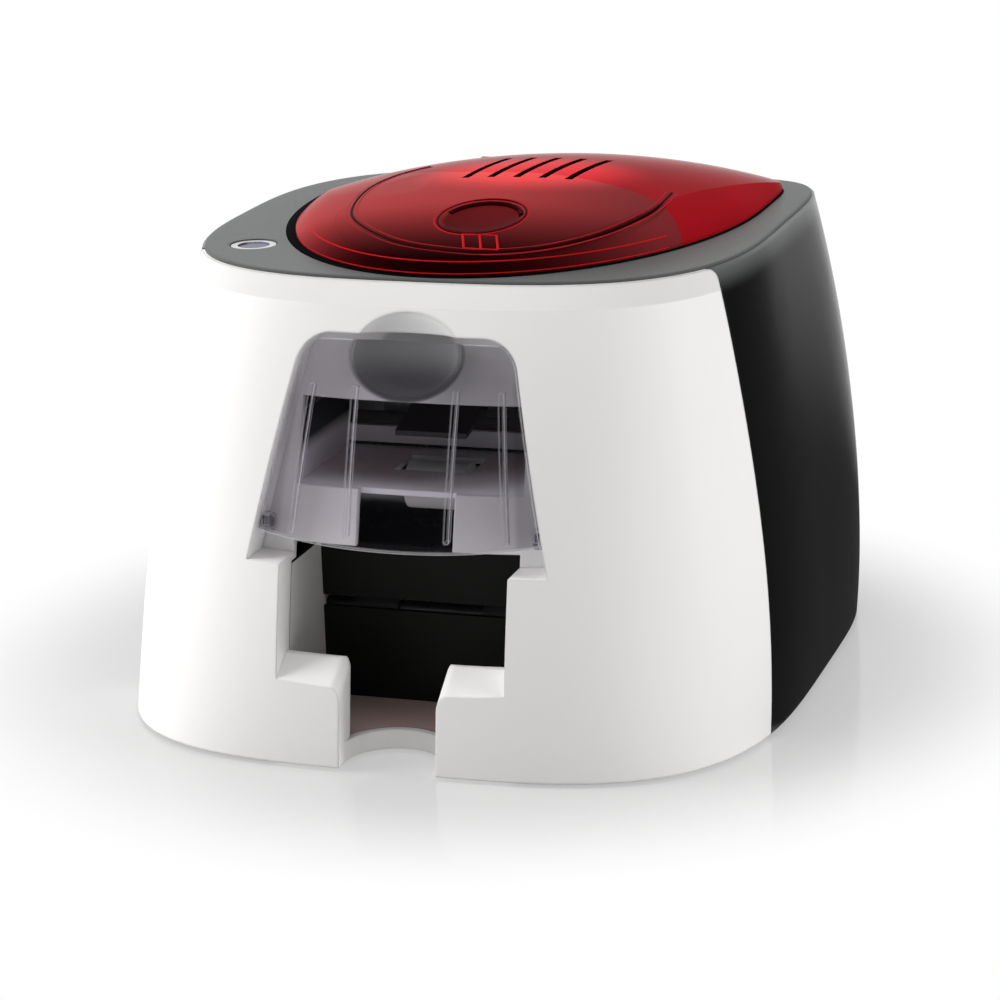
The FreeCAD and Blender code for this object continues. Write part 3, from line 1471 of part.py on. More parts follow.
def vent_slots():
    slots = []
    thin = half(S.vent_width)
    for step in range(int(SIZES["vent_count"])):
        number = Size(str(step), float(step)) - half(S.vent_count - ONE)
        x = S.lid_middle + S.vent_offset + number * S.vent_pitch
        y0, y1 = S.vent_start, S.vent_start + S.vent_length
        slots.append(prism("XY", S.shoulder_level, S.overrun, [
            (x - thin, y0), (x + thin, y0), (x + S.vent_shift + thin, y1), (x + S.vent_shift - thin, y1)]))
    return slots


def latch_housing():
    """Two lugs and a front wall that hang from the cover round the latch."""
    inner = S.latch_half_width + S.assembly_gap
    outer = inner + S.latch_house_wall
    low = lid_low + S.latch_house_lift
    high = S.crown_top
    lugs = [box(x0, x1, -S.latch_house_front, -S.latch_house_rear, low, high)
            for x0, x1 in ((latch_middle - outer, latch_middle - inner),
                           (latch_middle + inner, latch_middle + outer))]
    wall = box(latch_middle - outer, latch_middle + outer, -S.latch_house_front,
               S.latch_house_wall - S.latch_house_front, low, high)
    return fuse(*lugs, wall)


def top_cover():
    lid_bottom = SIZES["shoulder_level"] + SIZES["lid_gap"]
    wall = SIZES["lid_wall"]
    outer = common(lid_form(0, 0, lid_bottom), crown(ZERO))
    inner = common(lid_form(wall, wall, lid_bottom - SIZES["overrun"]), crown(S.lid_wall))
    cup = dimple(S.lid_wall)
    arm_start = S.knuckle_start + S.knuckle_length + S.assembly_gap
    arm_low = S.hinge_level - S.knuckle_radius
    arms = knuckles(arm_start, (arm_low, S.hinge_level + S.knuckle_radius),
                    (S.hinge_place - S.hinge_arm_reach, S.hinge_place))
    shell = fuse(cut(outer, inner), common(outer, fuse(cup, latch_housing())), *arms)
    pin_hole = rod_x(-FAR, FAR, S.hinge_place, S.hinge_level, S.hinge_pin_radius + S.running_gap)
    latch_hole = rod_x(latch_middle - S.overrun, latch_middle + S.overrun, -S.latch_place,
                       S.latch_pin_level, S.latch_pin_radius + S.running_gap)
    return cut(shell, dimple(ZERO), pin_hole, latch_hole, *vent_slots())


part("top_cover", top_cover())
pin_start = S.knuckle_start
pin_end = S.knuckle_start + S.knuckle_length * TWO + S.assembly_gap
part("lid_hinge_pins", group(*[rod_x(*ends, S.hinge_place, S.hinge_level, S.hinge_pin_radius)
                               for ends in ((pin_start, pin_end), (-pin_end, -pin_start))]))


def lid_latch():
    """A spring lever that hooks under the front edge of the deck's mouth."""
    front = -S.latch_place - half(S.latch_thickness)
    rear = -S.latch_place + half(S.latch_thickness)
    left, right = latch_middle - S.latch_half_width, latch_middle + S.latch_half_width
    top = crown_level(S.latch_offset, -S.latch_place) - S.lid_wall - S.latch_top_room
    lever = box(left, right, front, rear, S.latch_bottom, top)
    hook = box(left, right, front - S.latch_hook, rear, S.latch_bottom,
               S.latch_bottom + S.latch_hook_height)
    reach = S.latch_half_width + S.assembly_gap + S.latch_house_wall
    pin = rod_x(latch_middle - reach, latch_middle + reach, -S.latch_place, S.latch_pin_level,
                S.latch_pin_radius)
    return fuse(lever, hook, pin)


part("lid_latch", lid_latch())


# Chassis under the top cover, with the sprung print head

chassis_top = S.chassis_bottom + S.chassis_thickness
bar_top = S.head_bar_level + S.head_bar_height
stud_level = S.head_bar_level + half(S.head_bar_height)
stud_place = half(S.head_plate_rear - S.head_bar_front)
ear_inner = S.head_half_width + S.assembly_gap
ear_outer = ear_inner + S.head_ear_thickness


def lid_chassis():
    plate = box(-S.chassis_half_width, S.chassis_half_width, -S.chassis_front, S.chassis_rear,
                S.chassis_bottom, chassis_top)
    posts = [rod_z(x, y, chassis_top, S.crown_top, S.chassis_post_radius)
             for x in (-S.chassis_post_offset, S.chassis_post_offset)
             for y in (S.chassis_post_radius - S.chassis_front, S.chassis_rear - S.chassis_post_radius)]
    depth = SIZES["lid_wall"] + SIZES["assembly_gap"]
    under_crown = crown(S.lid_wall + S.assembly_gap)
    under_slope = lid_form(depth, depth, SIZES["chassis_bottom"])
    ears = [box(x0, x1, -S.head_bar_front, S.head_rear, S.chassis_bottom - S.head_ear_height,
                S.chassis_bottom)
            for x0, x1 in ((ear_inner, ear_outer), (-ear_outer, -ear_inner))]
    room = S.head_stud_radius + S.running_gap
    slot = box(-S.chassis_half_width, S.chassis_half_width, stud_place - room, stud_place + room,
               stud_level - room, stud_level + room + S.head_travel)
    return cut(fuse(plate, common(fuse(*posts), under_crown, under_slope), *ears), slot)


part("lid_chassis", lid_chassis())


def print_head_bracket():
    low = S.head_level + S.head_strip_height
    block = box(-S.head_half_width, S.head_half_width, -S.head_front, S.head_rear, low,
                low + S.head_block_height)
    plate = box(-S.head_half_width, S.head_half_width, S.head_plate_rear - S.head_plate,
                S.head_plate_rear, low, bar_top)
    bar = box(-S.head_half_width, S.head_half_width, -S.head_bar_front, S.head_plate_rear,
              S.head_bar_level, bar_top)
    studs = rod_x(-ear_outer, ear_outer, stud_place, stud_level, S.head_stud_radius)
    return fuse(block, plate, bar, studs)


part("print_head_bracket", print_head_bracket())
part("print_head_strip", box(-S.head_half_width, S.head_half_width, -S.head_front, S.head_rear,
                             S.head_level, S.head_level + S.head_strip_height))
spring_low = bar_top + S.head_travel + S.assembly_gap


def head_spring(x):
    bore = rod_z(x, stud_place, spring_low - S.overrun, SKY, S.spring_bore)
    return cut(rod_z(x, stud_place, spring_low, S.chassis_bottom, S.spring_radius), bore)


part("head_springs", group(head_spring(-S.spring_offset), head_spring(S.spring_offset)))


# Front cover of the card feeder, see-through, with ribs and the lower half of the finger dish

def rib(bottom_x, top_x):
    """One upright rib, seen from the front."""
    thin = half(S.rib_thickness)
    return prism("XZ", recess_back, FAR, [
        (bottom_x - thin, S.rib_bottom_level), (bottom_x + thin, S.rib_bottom_level),
        (top_x + thin, S.rib_top_level), (top_x - thin, S.rib_top_level)])


def front_cover():
    front_form = casing(SIZES["cover_inset"])
    window = recess_prism(-S.cover_gap, S.recess_floor_level + S.cover_gap)
    lower_edge = rod_y(ZERO, -FAR, recess_back, S.cover_middle_bottom + S.cover_bottom_radius,
                       S.cover_bottom_radius)
    limit = common(front_form, window, cover_swing(S.cover_split_gap))
    skin = cut(limit, casing(SIZES["cover_inset"] + SIZES["cover_wall"]))
    cup = common(limit, dish(S.cover_wall))
    bent = rib_form()
    arms = []
    arm_inner, arm_outer = S.cover_pin_inner, S.cover_pin_inner + S.cover_arm_width
    for x0, x1 in ((arm_inner, arm_outer), (-arm_outer, -arm_inner)):
        arms.append(rod_x(x0, x1, -S.cover_pivot_reach, S.cover_pivot_level, S.cover_arm_radius))
        arms.append(box(x0, x1, -FAR, -S.cover_pivot_reach, S.cover_pivot_level,
                        S.cover_pivot_level + S.cover_arm_radius))
    shell = fuse(common(skin, lower_edge), cup, bent, common(limit, fuse(*arms)))
    pin_hole = rod_x(-FAR, FAR, -S.cover_pivot_reach, S.cover_pivot_level, S.cover_pin_radius)
    return cut(shell, dish(ZERO), pin_hole)


def rib_form():
    """The ribs stand on the inner face of the cover's skin."""
    seat = SIZES["cover_inset"] + SIZES["cover_wall"] - SIZES["rib_thickness"]
    outer_rib_foot = S.rib_outer_place + half(S.rib_flare)
    outer_rib_head = S.rib_outer_place - half(S.rib_flare)
    bars = fuse(rib(S.rib_inner_place, S.rib_inner_place), rib(-S.rib_inner_place, -S.rib_inner_place),
                rib(outer_rib_foot, outer_rib_head), rib(-outer_rib_foot, -outer_rib_head))
    return cut(common(bars, casing(seat)), casing(seat + SIZES["rib_depth"]))


part("front_cover", front_cover())
part("front_cover_pins", group(*[rod_x(*ends, -S.cover_pivot_reach, S.cover_pivot_level, S.cover_pin_radius)
                                 for ends in ((S.cover_pin_inner, S.cover_pin_outer),
                                              (-S.cover_pin_outer, -S.cover_pin_inner))]))

# Recompute, check every object, and write each piece
doc.recompute()
failed = [f"{item.Name} ({item.Label})" for item in doc.Objects
          if "Invalid" in item.State or "Error" in item.State]
failed += [label for label, item in parts.items() if item.Shape.isNull() or not item.Shape.isValid()]
if failed:
    raise RuntimeError("failed: " + ", ".join(failed))
os.makedirs("parts", exist_ok=True)
for label, item in parts.items():
    item.Shape.exportStep(f"parts/{label}.step")
    box_of = item.Shape.BoundBox
    print(f"{label}: {len(item.Shape.Solids)} solids, {item.Shape.Volume:.0f} mm3, "
          f"x {box_of.XMin:.1f} {box_of.XMax:.1f}, y {box_of.YMin:.1f} {box_of.YMax:.1f}, "
          f"z {box_of.ZMin:.1f} {box_of.ZMax:.1f}")
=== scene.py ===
"""Looks of a desktop card printer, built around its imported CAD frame.

Every length is in metres, in the same frame as the CAD: X to the right, Y to the back, Z up, floor at zero.
"""
import json
import math

import bmesh
import bpy
from mathutils import Matrix, Vector


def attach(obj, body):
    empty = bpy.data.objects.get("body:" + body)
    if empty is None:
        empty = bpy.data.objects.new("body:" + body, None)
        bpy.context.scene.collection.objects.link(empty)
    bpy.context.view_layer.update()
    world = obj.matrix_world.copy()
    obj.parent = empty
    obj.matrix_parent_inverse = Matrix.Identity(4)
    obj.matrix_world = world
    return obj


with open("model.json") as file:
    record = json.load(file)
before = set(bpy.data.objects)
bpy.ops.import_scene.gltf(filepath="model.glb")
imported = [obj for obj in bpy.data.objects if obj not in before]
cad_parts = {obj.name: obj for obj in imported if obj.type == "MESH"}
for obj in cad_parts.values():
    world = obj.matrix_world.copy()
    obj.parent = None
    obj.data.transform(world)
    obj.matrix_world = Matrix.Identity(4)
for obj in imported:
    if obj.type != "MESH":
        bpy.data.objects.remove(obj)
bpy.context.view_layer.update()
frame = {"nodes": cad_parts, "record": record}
nodes = frame["nodes"]
scene = bpy.context.scene


# Places that finishes and added pieces share

DISH_MIDDLE = (0, -0.1, 0.1495)
CASING_DISH_RADII = (0.0208, 0.02, 0.0162)
COVER_DISH_RADII = (0.0215, 0.02, 0.0168)
DIMPLE_PLACE = (0.0119, -0.043)
# Middle and radii of the painted glow round the top cover's slots.
PAINTED_GLOW_MIDDLE = (0.011, 0.022, 0.19)
PAINTED_GLOW_RADII = (0.04, 0.03, 0.03)
SLOTS_MIDDLE = (0.011, 0.031, 0.19)
SLOTS_RADII = (0.034, 0.034, 0.03)


# Camera at the photograph's angle

CAMERA = dict(
    azimuth=18.57, elevation=15.22, roll=-1.86, distance=1.30404, target=(0, 0.0039, 0.095),
    focal_px=3289.2, frame_px=1000, sensor_mm=36.0, shift_x=0.0015, shift_y=-0.0744, near=0.05, far=40,
)


def set_camera():
    azimuth, elevation, roll = (math.radians(CAMERA[name]) for name in ("azimuth", "elevation", "roll"))
    back = Vector((
        math.sin(azimuth) * math.cos(elevation),
        -math.cos(azimuth) * math.cos(elevation),
        math.sin(elevation),
    ))
    right = Vector((math.cos(azimuth), math.sin(azimuth), 0))
    up = back.cross(right)
    rolled_right = right * math.cos(roll) + up * math.sin(roll)
    rolled_up = up * math.cos(roll) - right * math.sin(roll)
    data = bpy.data.cameras.new("view")
    data.sensor_width = CAMERA["sensor_mm"]
    data.lens = CAMERA["focal_px"] * CAMERA["sensor_mm"] / CAMERA["frame_px"]
    data.shift_x = CAMERA["shift_x"]
    data.shift_y = CAMERA["shift_y"]
    data.clip_start = CAMERA["near"]
    data.clip_end = CAMERA["far"]
    camera = bpy.data.objects.new("view", data)
    turn = Matrix((rolled_right, rolled_up, back)).transposed().to_4x4()
    camera.matrix_world = Matrix.Translation(Vector(CAMERA["target"]) + back * CAMERA["distance"]) @ turn
    scene.collection.objects.link(camera)
    scene.camera = camera


# Node helpers

class Graph:
    """A material's node tree, with short calls for the nodes that the finishes share."""

    def __init__(self, name):
        self.material = bpy.data.materials.new(name)
        self.material.use_nodes = True
        self.tree = self.material.node_tree
        self.tree.nodes.clear()
        self.output = self.add("ShaderNodeOutputMaterial")
        self.shader = self.add("ShaderNodeBsdfPrincipled")
        self.join(self.shader.outputs[0], self.output.inputs["Surface"])
        self.place = self.add("ShaderNodeTexCoord").outputs["Object"]

    def add(self, kind, **settings):
        node = self.tree.nodes.new(kind)
        for key, value in settings.items():
            setattr(node, key, value)
        return node

    def join(self, source, target):
        self.tree.links.new(source, target)

    def put(self, socket, value):
        if isinstance(value, bpy.types.NodeSocket):
            self.join(value, socket)
        else:
            socket.default_value = value

    def put_colour(self, socket, value):
        self.put(socket, value if isinstance(value, bpy.types.NodeSocket) else (*value, 1))

    def mapped(self, scale, move=(0, 0, 0)):
        node = self.add("ShaderNodeMapping")
        node.inputs["Scale"].default_value = scale
        node.inputs["Location"].default_value = move
        self.join(self.place, node.inputs["Vector"])
        return node.outputs["Vector"]

    def noise(self, size, detail=2.0, stretch=None):
        node = self.add("ShaderNodeTexNoise")
        node.inputs["Scale"].default_value = 1 / size
        node.inputs["Detail"].default_value = detail
        self.join(self.mapped(stretch) if stretch else self.place, node.inputs["Vector"])
        return node.outputs["Fac"]

    def math(self, operation, a, b=0.0):
        node = self.add("ShaderNodeMath", operation=operation)
        self.put(node.inputs[0], a)
        self.put(node.inputs[1], b)
        return node.outputs[0]

    def span(self, value, low, high, to_low=0.0, to_high=1.0, smooth=False):
        node = self.add("ShaderNodeMapRange")
        if smooth:
            node.interpolation_type = "SMOOTHSTEP"
        self.put(node.inputs["Value"], value)
        node.inputs["From Min"].default_value = low
        node.inputs["From Max"].default_value = high
        node.inputs["To Min"].default_value = to_low
        node.inputs["To Max"].default_value = to_high
        return node.outputs["Result"]

    def blend(self, share, first, second):
        node = self.add("ShaderNodeMix", data_type="RGBA")
        self.put(node.inputs["Factor"], share)
        self.put_colour(node.inputs["A"], first)
        self.put_colour(node.inputs["B"], second)
        return node.outputs["Result"]

    def axes(self):
        """The place on the object along X, Y and Z."""
        node = self.add("ShaderNodeSeparateXYZ")
        self.join(self.place, node.inputs[0])
        return node.outputs[:]

    def facing(self):
        """How far the surface faces X, Y and Z."""
        node = self.add("ShaderNodeSeparateXYZ")
        self.join(self.add("ShaderNodeNewGeometry").outputs["Normal"], node.inputs[0])
        return node.outputs[:]

    def away(self, middle, radii):
        """Distance from a place, as a share of three radii."""
        scale = tuple(1 / radius for radius in radii)
        move = tuple(-c / radius for c, radius in zip(middle, radii))
        node = self.add("ShaderNodeVectorMath", operation="LENGTH")
        self.join(self.mapped(scale, move), node.inputs[0])
        return node.outputs["Value"]

    def soften(self, radius):
        """A normal that turns smoothly over edges."""
        node = self.add("ShaderNodeBevel", samples=4)
        node.inputs["Radius"].default_value = radius
        return node.outputs["Normal"]

    def edges(self, radius, low, high):
        """One on edges and nothing on flat faces."""
        node = self.add("ShaderNodeVectorMath", operation="DOT_PRODUCT")
        self.join(self.soften(radius), node.inputs[0])
        self.join(self.add("ShaderNodeNewGeometry").outputs["Normal"], node.inputs[1])
        return self.span(node.outputs["Value"], high, low)

    def traced(self, value, low, high, points):
        """A smooth line through points, as a function of one coordinate from low to high."""
        node = self.add("ShaderNodeFloatCurve")
        self.join(self.span(value, low, high), node.inputs["Value"])
        line = node.mapping.curves[0]
        line.points[0].location = points[0]
        line.points[1].location = points[-1]
        for a, b in points[1:-1]:
            line.points.new(a, b)
        node.mapping.update()
        return node.outputs["Value"]

    def bump(self, height, depth, under=None):
        node = self.add("ShaderNodeBump")
        node.inputs["Strength"].default_value = 1.0
        node.inputs["Distance"].default_value = depth
        self.join(height, node.inputs["Height"])
        if under is not None:
            self.join(under, node.inputs["Normal"])
        return node.outputs["Normal"]

    def set(self, **values):
        for key, value in values.items():
            self.put(self.shader.inputs[key.replace("_", " ")], value)

    def see_through(self, tint, share):
        """Lets part of what lies behind through, in a tint."""
        clear = self.add("ShaderNodeBsdfTransparent")
        clear.inputs["Color"].default_value = (*tint, 1)
        mixer = self.add("ShaderNodeMixShader")
        self.put(mixer.inputs[0], share)
        self.join(self.shader.outputs[0], mixer.inputs[1])
        self.join(clear.outputs[0], mixer.inputs[2])
        self.join(mixer.outputs[0], self.output.inputs["Surface"])


def scaled(colour, by):
    return tuple(min(1.0, c * by) for c in colour)


def finish(name, colour, roughness, vary=0.05, patch=0.06, grain=0.0009, depth=0.00002,
           rough_vary=0.06, stretch=None, edge=0.0, **constants):
    """A moulded or machined surface: slow colour drift, fine grain, and roughness that follows both."""
    graph = Graph(name)
    drift = graph.noise(patch, 3.0)
    fine = graph.noise(grain, 2.0, stretch)
    darker, paler = scaled(colour, 1 - vary), scaled(colour, 1 + vary)
    graph.colour = graph.blend(graph.span(drift, 0.35, 0.65), darker, paler)
    graph.set(Base_Color=graph.colour)
    mixed = graph.math("ADD", graph.math("MULTIPLY", drift, 0.5), graph.math("MULTIPLY", fine, 0.5))
    graph.set(Roughness=graph.span(mixed, 0.3, 0.7, roughness - rough_vary, roughness + rough_vary))
    under = graph.soften(edge) if edge else None
    graph.set(Normal=graph.bump(fine, depth, under=under), **constants)
    return graph


# Finishes of the plainer pieces, by material slot

FINISHES = {
    # rim_grey: dark plastic like the black casing; its paler grey is painted light from the overhead lamp on
    # the rim's top.
    "rim_grey": dict(colour=(0.115, 0.126, 0.123), roughness=0.42, vary=0.05, depth=0.00001, edge=0.0025,
                     IOR=1.2),
    "button_blue": dict(colour=(0.02, 0.022, 0.09), roughness=0.16, vary=0.2, patch=0.006, depth=0.000002,
                        edge=0.0008, IOR=1.25, Coat_Weight=0.1),
    "bezel_silver": dict(colour=(0.66, 0.67, 0.69), roughness=0.2, grain=0.0004, stretch=(1, 6, 1),
                         edge=0.0003, Metallic=1.0),
    "foot_rubber": dict(colour=(0.018, 0.018, 0.018), roughness=0.85, depth=0.00006),
    "screw_steel": dict(colour=(0.36, 0.36, 0.37), roughness=0.34, grain=0.0003, Metallic=1.0),
    "frame_steel": dict(colour=(0.5, 0.5, 0.5), roughness=0.42, grain=0.0014, patch=0.012, Metallic=1.0),
    "shaft_steel": dict(colour=(0.58, 0.58, 0.59), roughness=0.24, grain=0.0006, stretch=(8, 1, 1),
                        Metallic=1.0),
    "shaft_black": dict(colour=(0.03, 0.03, 0.032), roughness=0.4, grain=0.0006, stretch=(8, 1, 1)),
    "bush_plastic": dict(colour=(0.72, 0.7, 0.62), roughness=0.5),
    "pinch_plastic": dict(colour=(0.1, 0.1, 0.11), roughness=0.45),
    "gear_plastic": dict(colour=(0.62, 0.6, 0.54), roughness=0.5),
    "pinion_brass": dict(colour=(0.68, 0.48, 0.2), roughness=0.32, Metallic=1.0),
    "belt_rubber": dict(colour=(0.016, 0.016, 0.017), roughness=0.7),
    "motor_metal": dict(colour=(0.4, 0.4, 0.41), roughness=0.38, Metallic=1.0),
    "motor_can": dict(colour=(0.48, 0.48, 0.5), roughness=0.3, grain=0.0004, stretch=(6, 1, 1), Metallic=1.0),
    "press_black": dict(colour=(0.012, 0.012, 0.013), roughness=0.45, edge=0.0006),
    "board_green": dict(colour=(0.008, 0.09, 0.03), roughness=0.4, vary=0.3, patch=0.004),
    "board_fittings": dict(colour=(0.03, 0.03, 0.035), roughness=0.4, vary=0.5, patch=0.01),
    "socket_metal": dict(colour=(0.55, 0.55, 0.56), roughness=0.3, Metallic=1.0),
    "ribbon_used": dict(colour=(0.05, 0.02, 0.045), roughness=0.28, vary=0.4, patch=0.01),
    "ribbon_fresh": dict(colour=(0.35, 0.28, 0.02), roughness=0.22, vary=0.3, patch=0.01),
    "head_aluminium": dict(colour=(0.62, 0.62, 0.63), roughness=0.35, grain=0.0005, stretch=(4, 1, 1),
                           Metallic=1.0),
    "head_ceramic": dict(colour=(0.72, 0.7, 0.66), roughness=0.3),
    "spring_steel": dict(colour=(0.5, 0.5, 0.5), roughness=0.26, Metallic=1.0),
}

made = {name: finish(name, **values).material for name, values in FINISHES.items()}


# Finishes that change with the place on the piece

def white_plastic():
    """White, with a soft fold below the rim, and painted shade greying the upper half of the finger dish."""
    fold_level, fold_slope = 0.1655, -0.75
    grain, grain_depth = 0.0009, 0.000006
    dish_low, dish_high = 0.151, 0.166
    low_dish_shade, high_dish_shade = (0.56, 0.565, 0.57), (0.78, 0.78, 0.775)
    graph = finish("casing_white", (0.86, 0.852, 0.846), 0.34, vary=0.012, patch=0.15, depth=grain_depth)
    z = graph.axes()[2]
    above = graph.math("MAXIMUM", graph.math("SUBTRACT", z, fold_level), 0.0)
    folded = graph.bump(graph.math("MULTIPLY", above, fold_slope), 1.0, under=graph.soften(0.0012))
    graph.set(Normal=graph.bump(graph.noise(grain), grain_depth, under=folded))
    # Painted shade: the dish's upper half on the casing turns grey, darkest just above the seam.
    dish_painted_shade = graph.span(graph.away(DISH_MIDDLE, CASING_DISH_RADII), 1.03, 0.97)
    dish_shade_colour = graph.blend(graph.span(z, dish_low, dish_high), low_dish_shade, high_dish_shade)
    graph.set(Base_Color=graph.blend(dish_painted_shade, graph.colour, dish_shade_colour))
    return graph.material


def black_plastic():
    """Black, with painted light turning it grey at the fold where it turns up into the rim."""
    fold_low, fold_high = 0.1635, 0.1745
    fold_painted_light = (0.11, 0.12, 0.118)
    graph = finish("casing_black", (0.0035, 0.0036, 0.0038), 0.24, vary=0.12, depth=0.000005, edge=0.003,
                   rough_vary=0.03, Sheen_Weight=0.08, Sheen_Roughness=0.25)
    # Painted light: the black turns grey up the fold, as if lit from overhead like the rim.
    fold = graph.span(graph.axes()[2], fold_low, fold_high, smooth=True)
    graph.set(Base_Color=graph.blend(fold, graph.colour, fold_painted_light))
    return graph.material


# Where a paler painted reflection of the overhead light ends on the top cover.
REFLECTION_LEFT, REFLECTION_RIGHT = -0.06, 0.1
REFLECTION_FRONT, REFLECTION_REAR = -0.06, 0.04
REFLECTION_EDGE_SHARES = (
    (0, 0.98), (0.0625, 0.94), (0.169, 0.87), (0.306, 0.78), (0.425, 0.765), (0.5875, 0.71), (0.725, 0.62),
    (0.819, 0.52), (0.8875, 0.42), (0.925, 0.28), (0.95, 0.1), (1, 0),
)
# Reds of the top cover; several of them paint light and shade, as noted where they are used.
RED = dict(
    deep=(0.36, 0.008, 0.014), bright=(0.8, 0.02, 0.03), painted_reflection_left=(0.46, 0.055, 0.058),
    painted_reflection_right=(0.19, 0.028, 0.03), painted_reflection_glow=(1.0, 0.075, 0.075), front=(0.012, 0.0005, 0.001),
    dimple=(0.1, 0.004, 0.006), slot_wall_painted_shade=(0.012, 0.001, 0.001), tint=(0.7, 0.03, 0.045),
)


def red_plastic():
    """Deep red and see-through: painted shade over the front, a painted glow by the slots, and a paler
    painted reflection.
    """
    dark_until, lit_from = -0.086, -0.02
    clear_front, clear_rear = -0.09, -0.03
    dimple_middle, dimple_radii = (*DIMPLE_PLACE, 0.189), (0.0155, 0.0172, 0.02)
    graph = finish("lid_red", RED["deep"], 0.1, vary=0.05, patch=0.05, grain=0.002, depth=0.000001,
                   rough_vary=0.03, edge=0.0006, IOR=1.025)
    x, y, _ = graph.axes()
    # Painted glow: the red turns bright round the slots, standing for light shining through the cover.
    painted_slot_glow = graph.span(graph.away(PAINTED_GLOW_MIDDLE, PAINTED_GLOW_RADII), 1.3, 0.5, smooth=True)
    colour = graph.blend(painted_slot_glow, graph.colour, RED["bright"])
    # Painted reflection: behind this edge the red turns paler, more so to the left and by the slots.
    reflection_edge = graph.traced(x, REFLECTION_LEFT, REFLECTION_RIGHT, REFLECTION_EDGE_SHARES)
    behind = graph.math("SUBTRACT", graph.span(y, REFLECTION_FRONT, REFLECTION_REAR), reflection_edge)
    shell = graph.span(behind, 0.008, -0.008)
    to_right = graph.span(x, 0.0, 0.08, smooth=True)
    paler = graph.blend(to_right, RED["painted_reflection_left"], RED["painted_reflection_right"])
    paler = graph.blend(graph.math("MULTIPLY", painted_slot_glow, 0.8), paler, RED["painted_reflection_glow"])
    colour = graph.blend(graph.math("MULTIPLY", shell, 0.85), colour, paler)
    # Painted shade: the red fades to near black over the front of the cover.
    lit = graph.span(y, dark_until, lit_from, smooth=True)
    colour = graph.blend(lit, RED["front"], colour)
    # Painted shade: the red darkens inside the dimple.
    painted_dimple_shade = graph.span(graph.away(dimple_middle, dimple_radii), 1.02, 0.9)
    colour = graph.blend(graph.math("MULTIPLY", painted_dimple_shade, 0.8), colour, RED["dimple"])
    # Painted shade: the sideways-facing walls of the slots turn near black.
    across = graph.span(graph.math("ABSOLUTE", graph.facing()[0]), 0.75, 0.9)
    near_slots = graph.span(graph.away(SLOTS_MIDDLE, SLOTS_RADII), 1.1, 1.0)
    painted_slot_shade = graph.math("MULTIPLY", across, near_slots)
    graph.set(Base_Color=graph.blend(painted_slot_shade, colour, RED["slot_wall_painted_shade"]))
    clear = graph.span(y, clear_front, clear_rear, 0.66, 0.2)
    clear = graph.math("MULTIPLY", clear, graph.span(painted_slot_glow, 0, 1, 1, 0.2))
    graph.see_through(RED["tint"], clear)
    return graph.material


def smoke_plastic():
    """Near black and half see-through, with painted highlights on the edges, a frosted dish darker at its
    bottom and painted shade to the right.
    """
    edge_painted_highlight = (0.85, 0.845, 0.87)
    frost_low, frost_high = 0.139, 0.152
    low_frost, high_frost = (0.042, 0.039, 0.047), (0.17, 0.17, 0.178)
    panel_half_width = 0.045
    flank_low, flank_high, flank_width = 0.08, 0.137, 0.002
    flank_low_x, flank_high_x = 0.0455, 0.0405
    graph = finish("cover_smoke", (0.006, 0.006, 0.008), 0.12, vary=0.04, patch=0.03, depth=0.000002,
                   rough_vary=0.02, edge=0.0006, IOR=1.2)
    frost = graph.span(graph.away(DISH_MIDDLE, COVER_DISH_RADII), 1.05, 0.98)
    # Painted highlight: the cover's edges and ribs are drawn pale, and let less through.
    edge = graph.edges(0.0012, 0.88, 0.995)
    colour = graph.blend(edge, graph.colour, edge_painted_highlight)
    x, _, z = graph.axes()
    frosted = graph.blend(graph.span(z, frost_low, frost_high, smooth=True), low_frost, high_frost)
    graph.set(Base_Color=graph.blend(frost, colour, frosted))
    # Painted shade: less shows through towards the right. The flanks also let less through.
    plain = graph.span(x, -panel_half_width, panel_half_width, 0.95, 0.81)
    flank_start = graph.span(z, flank_low, flank_high, flank_low_x, flank_high_x)
    flank = graph.math("SUBTRACT", graph.math("ABSOLUTE", x), flank_start)
    plain = graph.math("MULTIPLY", plain, graph.span(flank, 0.0, flank_width, 1.0, 0.88))
    clear = graph.math("MULTIPLY", graph.span(frost, 0, 1, 1.0, 0.25), graph.span(edge, 0, 1, 1.0, 0.3))
    graph.see_through((0.965, 0.955, 0.98), graph.math("MULTIPLY", clear, plain))
    return graph.material


def feeder_plastic():
    """Pale grey low down and on faces that look up, with painted shade making it dark elsewhere."""
    dark_above, pale_below = 0.113, 0.108
    graph = finish("feeder_grey", (0.93, 0.92, 0.95), 0.45, edge=0.0006)
    # Painted shade: faces that don't look up turn dark above the floor.
    level = graph.math("MAXIMUM", graph.span(graph.facing()[2], 0.5, 0.8),
                       graph.span(graph.axes()[2], dark_above, pale_below))
    graph.set(Base_Color=graph.blend(level, (0.02, 0.02, 0.022), graph.colour))
    return graph.material


def roller_rubber():
    """Black rubber, and a pale pick roller below the feeder."""
    pick_rear, pick_low, blur = -0.053, 0.07, 0.002
    graph = finish("roller_rubber", (0.035, 0.035, 0.037), 0.7, grain=0.0005, depth=0.00005)
    _, y, z = graph.axes()
    in_front = graph.span(y, pick_rear, pick_rear - blur)
    pick = graph.math("MULTIPLY", in_front, graph.span(z, pick_low, pick_low + blur))
    graph.set(Base_Color=graph.blend(pick, graph.colour, (0.8, 0.79, 0.8)))
    return graph.material


def pin_plastic():
    graph = finish("smoke_pins", (0.2, 0.2, 0.21), 0.2, IOR=1.3)
    graph.see_through((0.8, 0.8, 0.83), 0.6)
    return graph.material


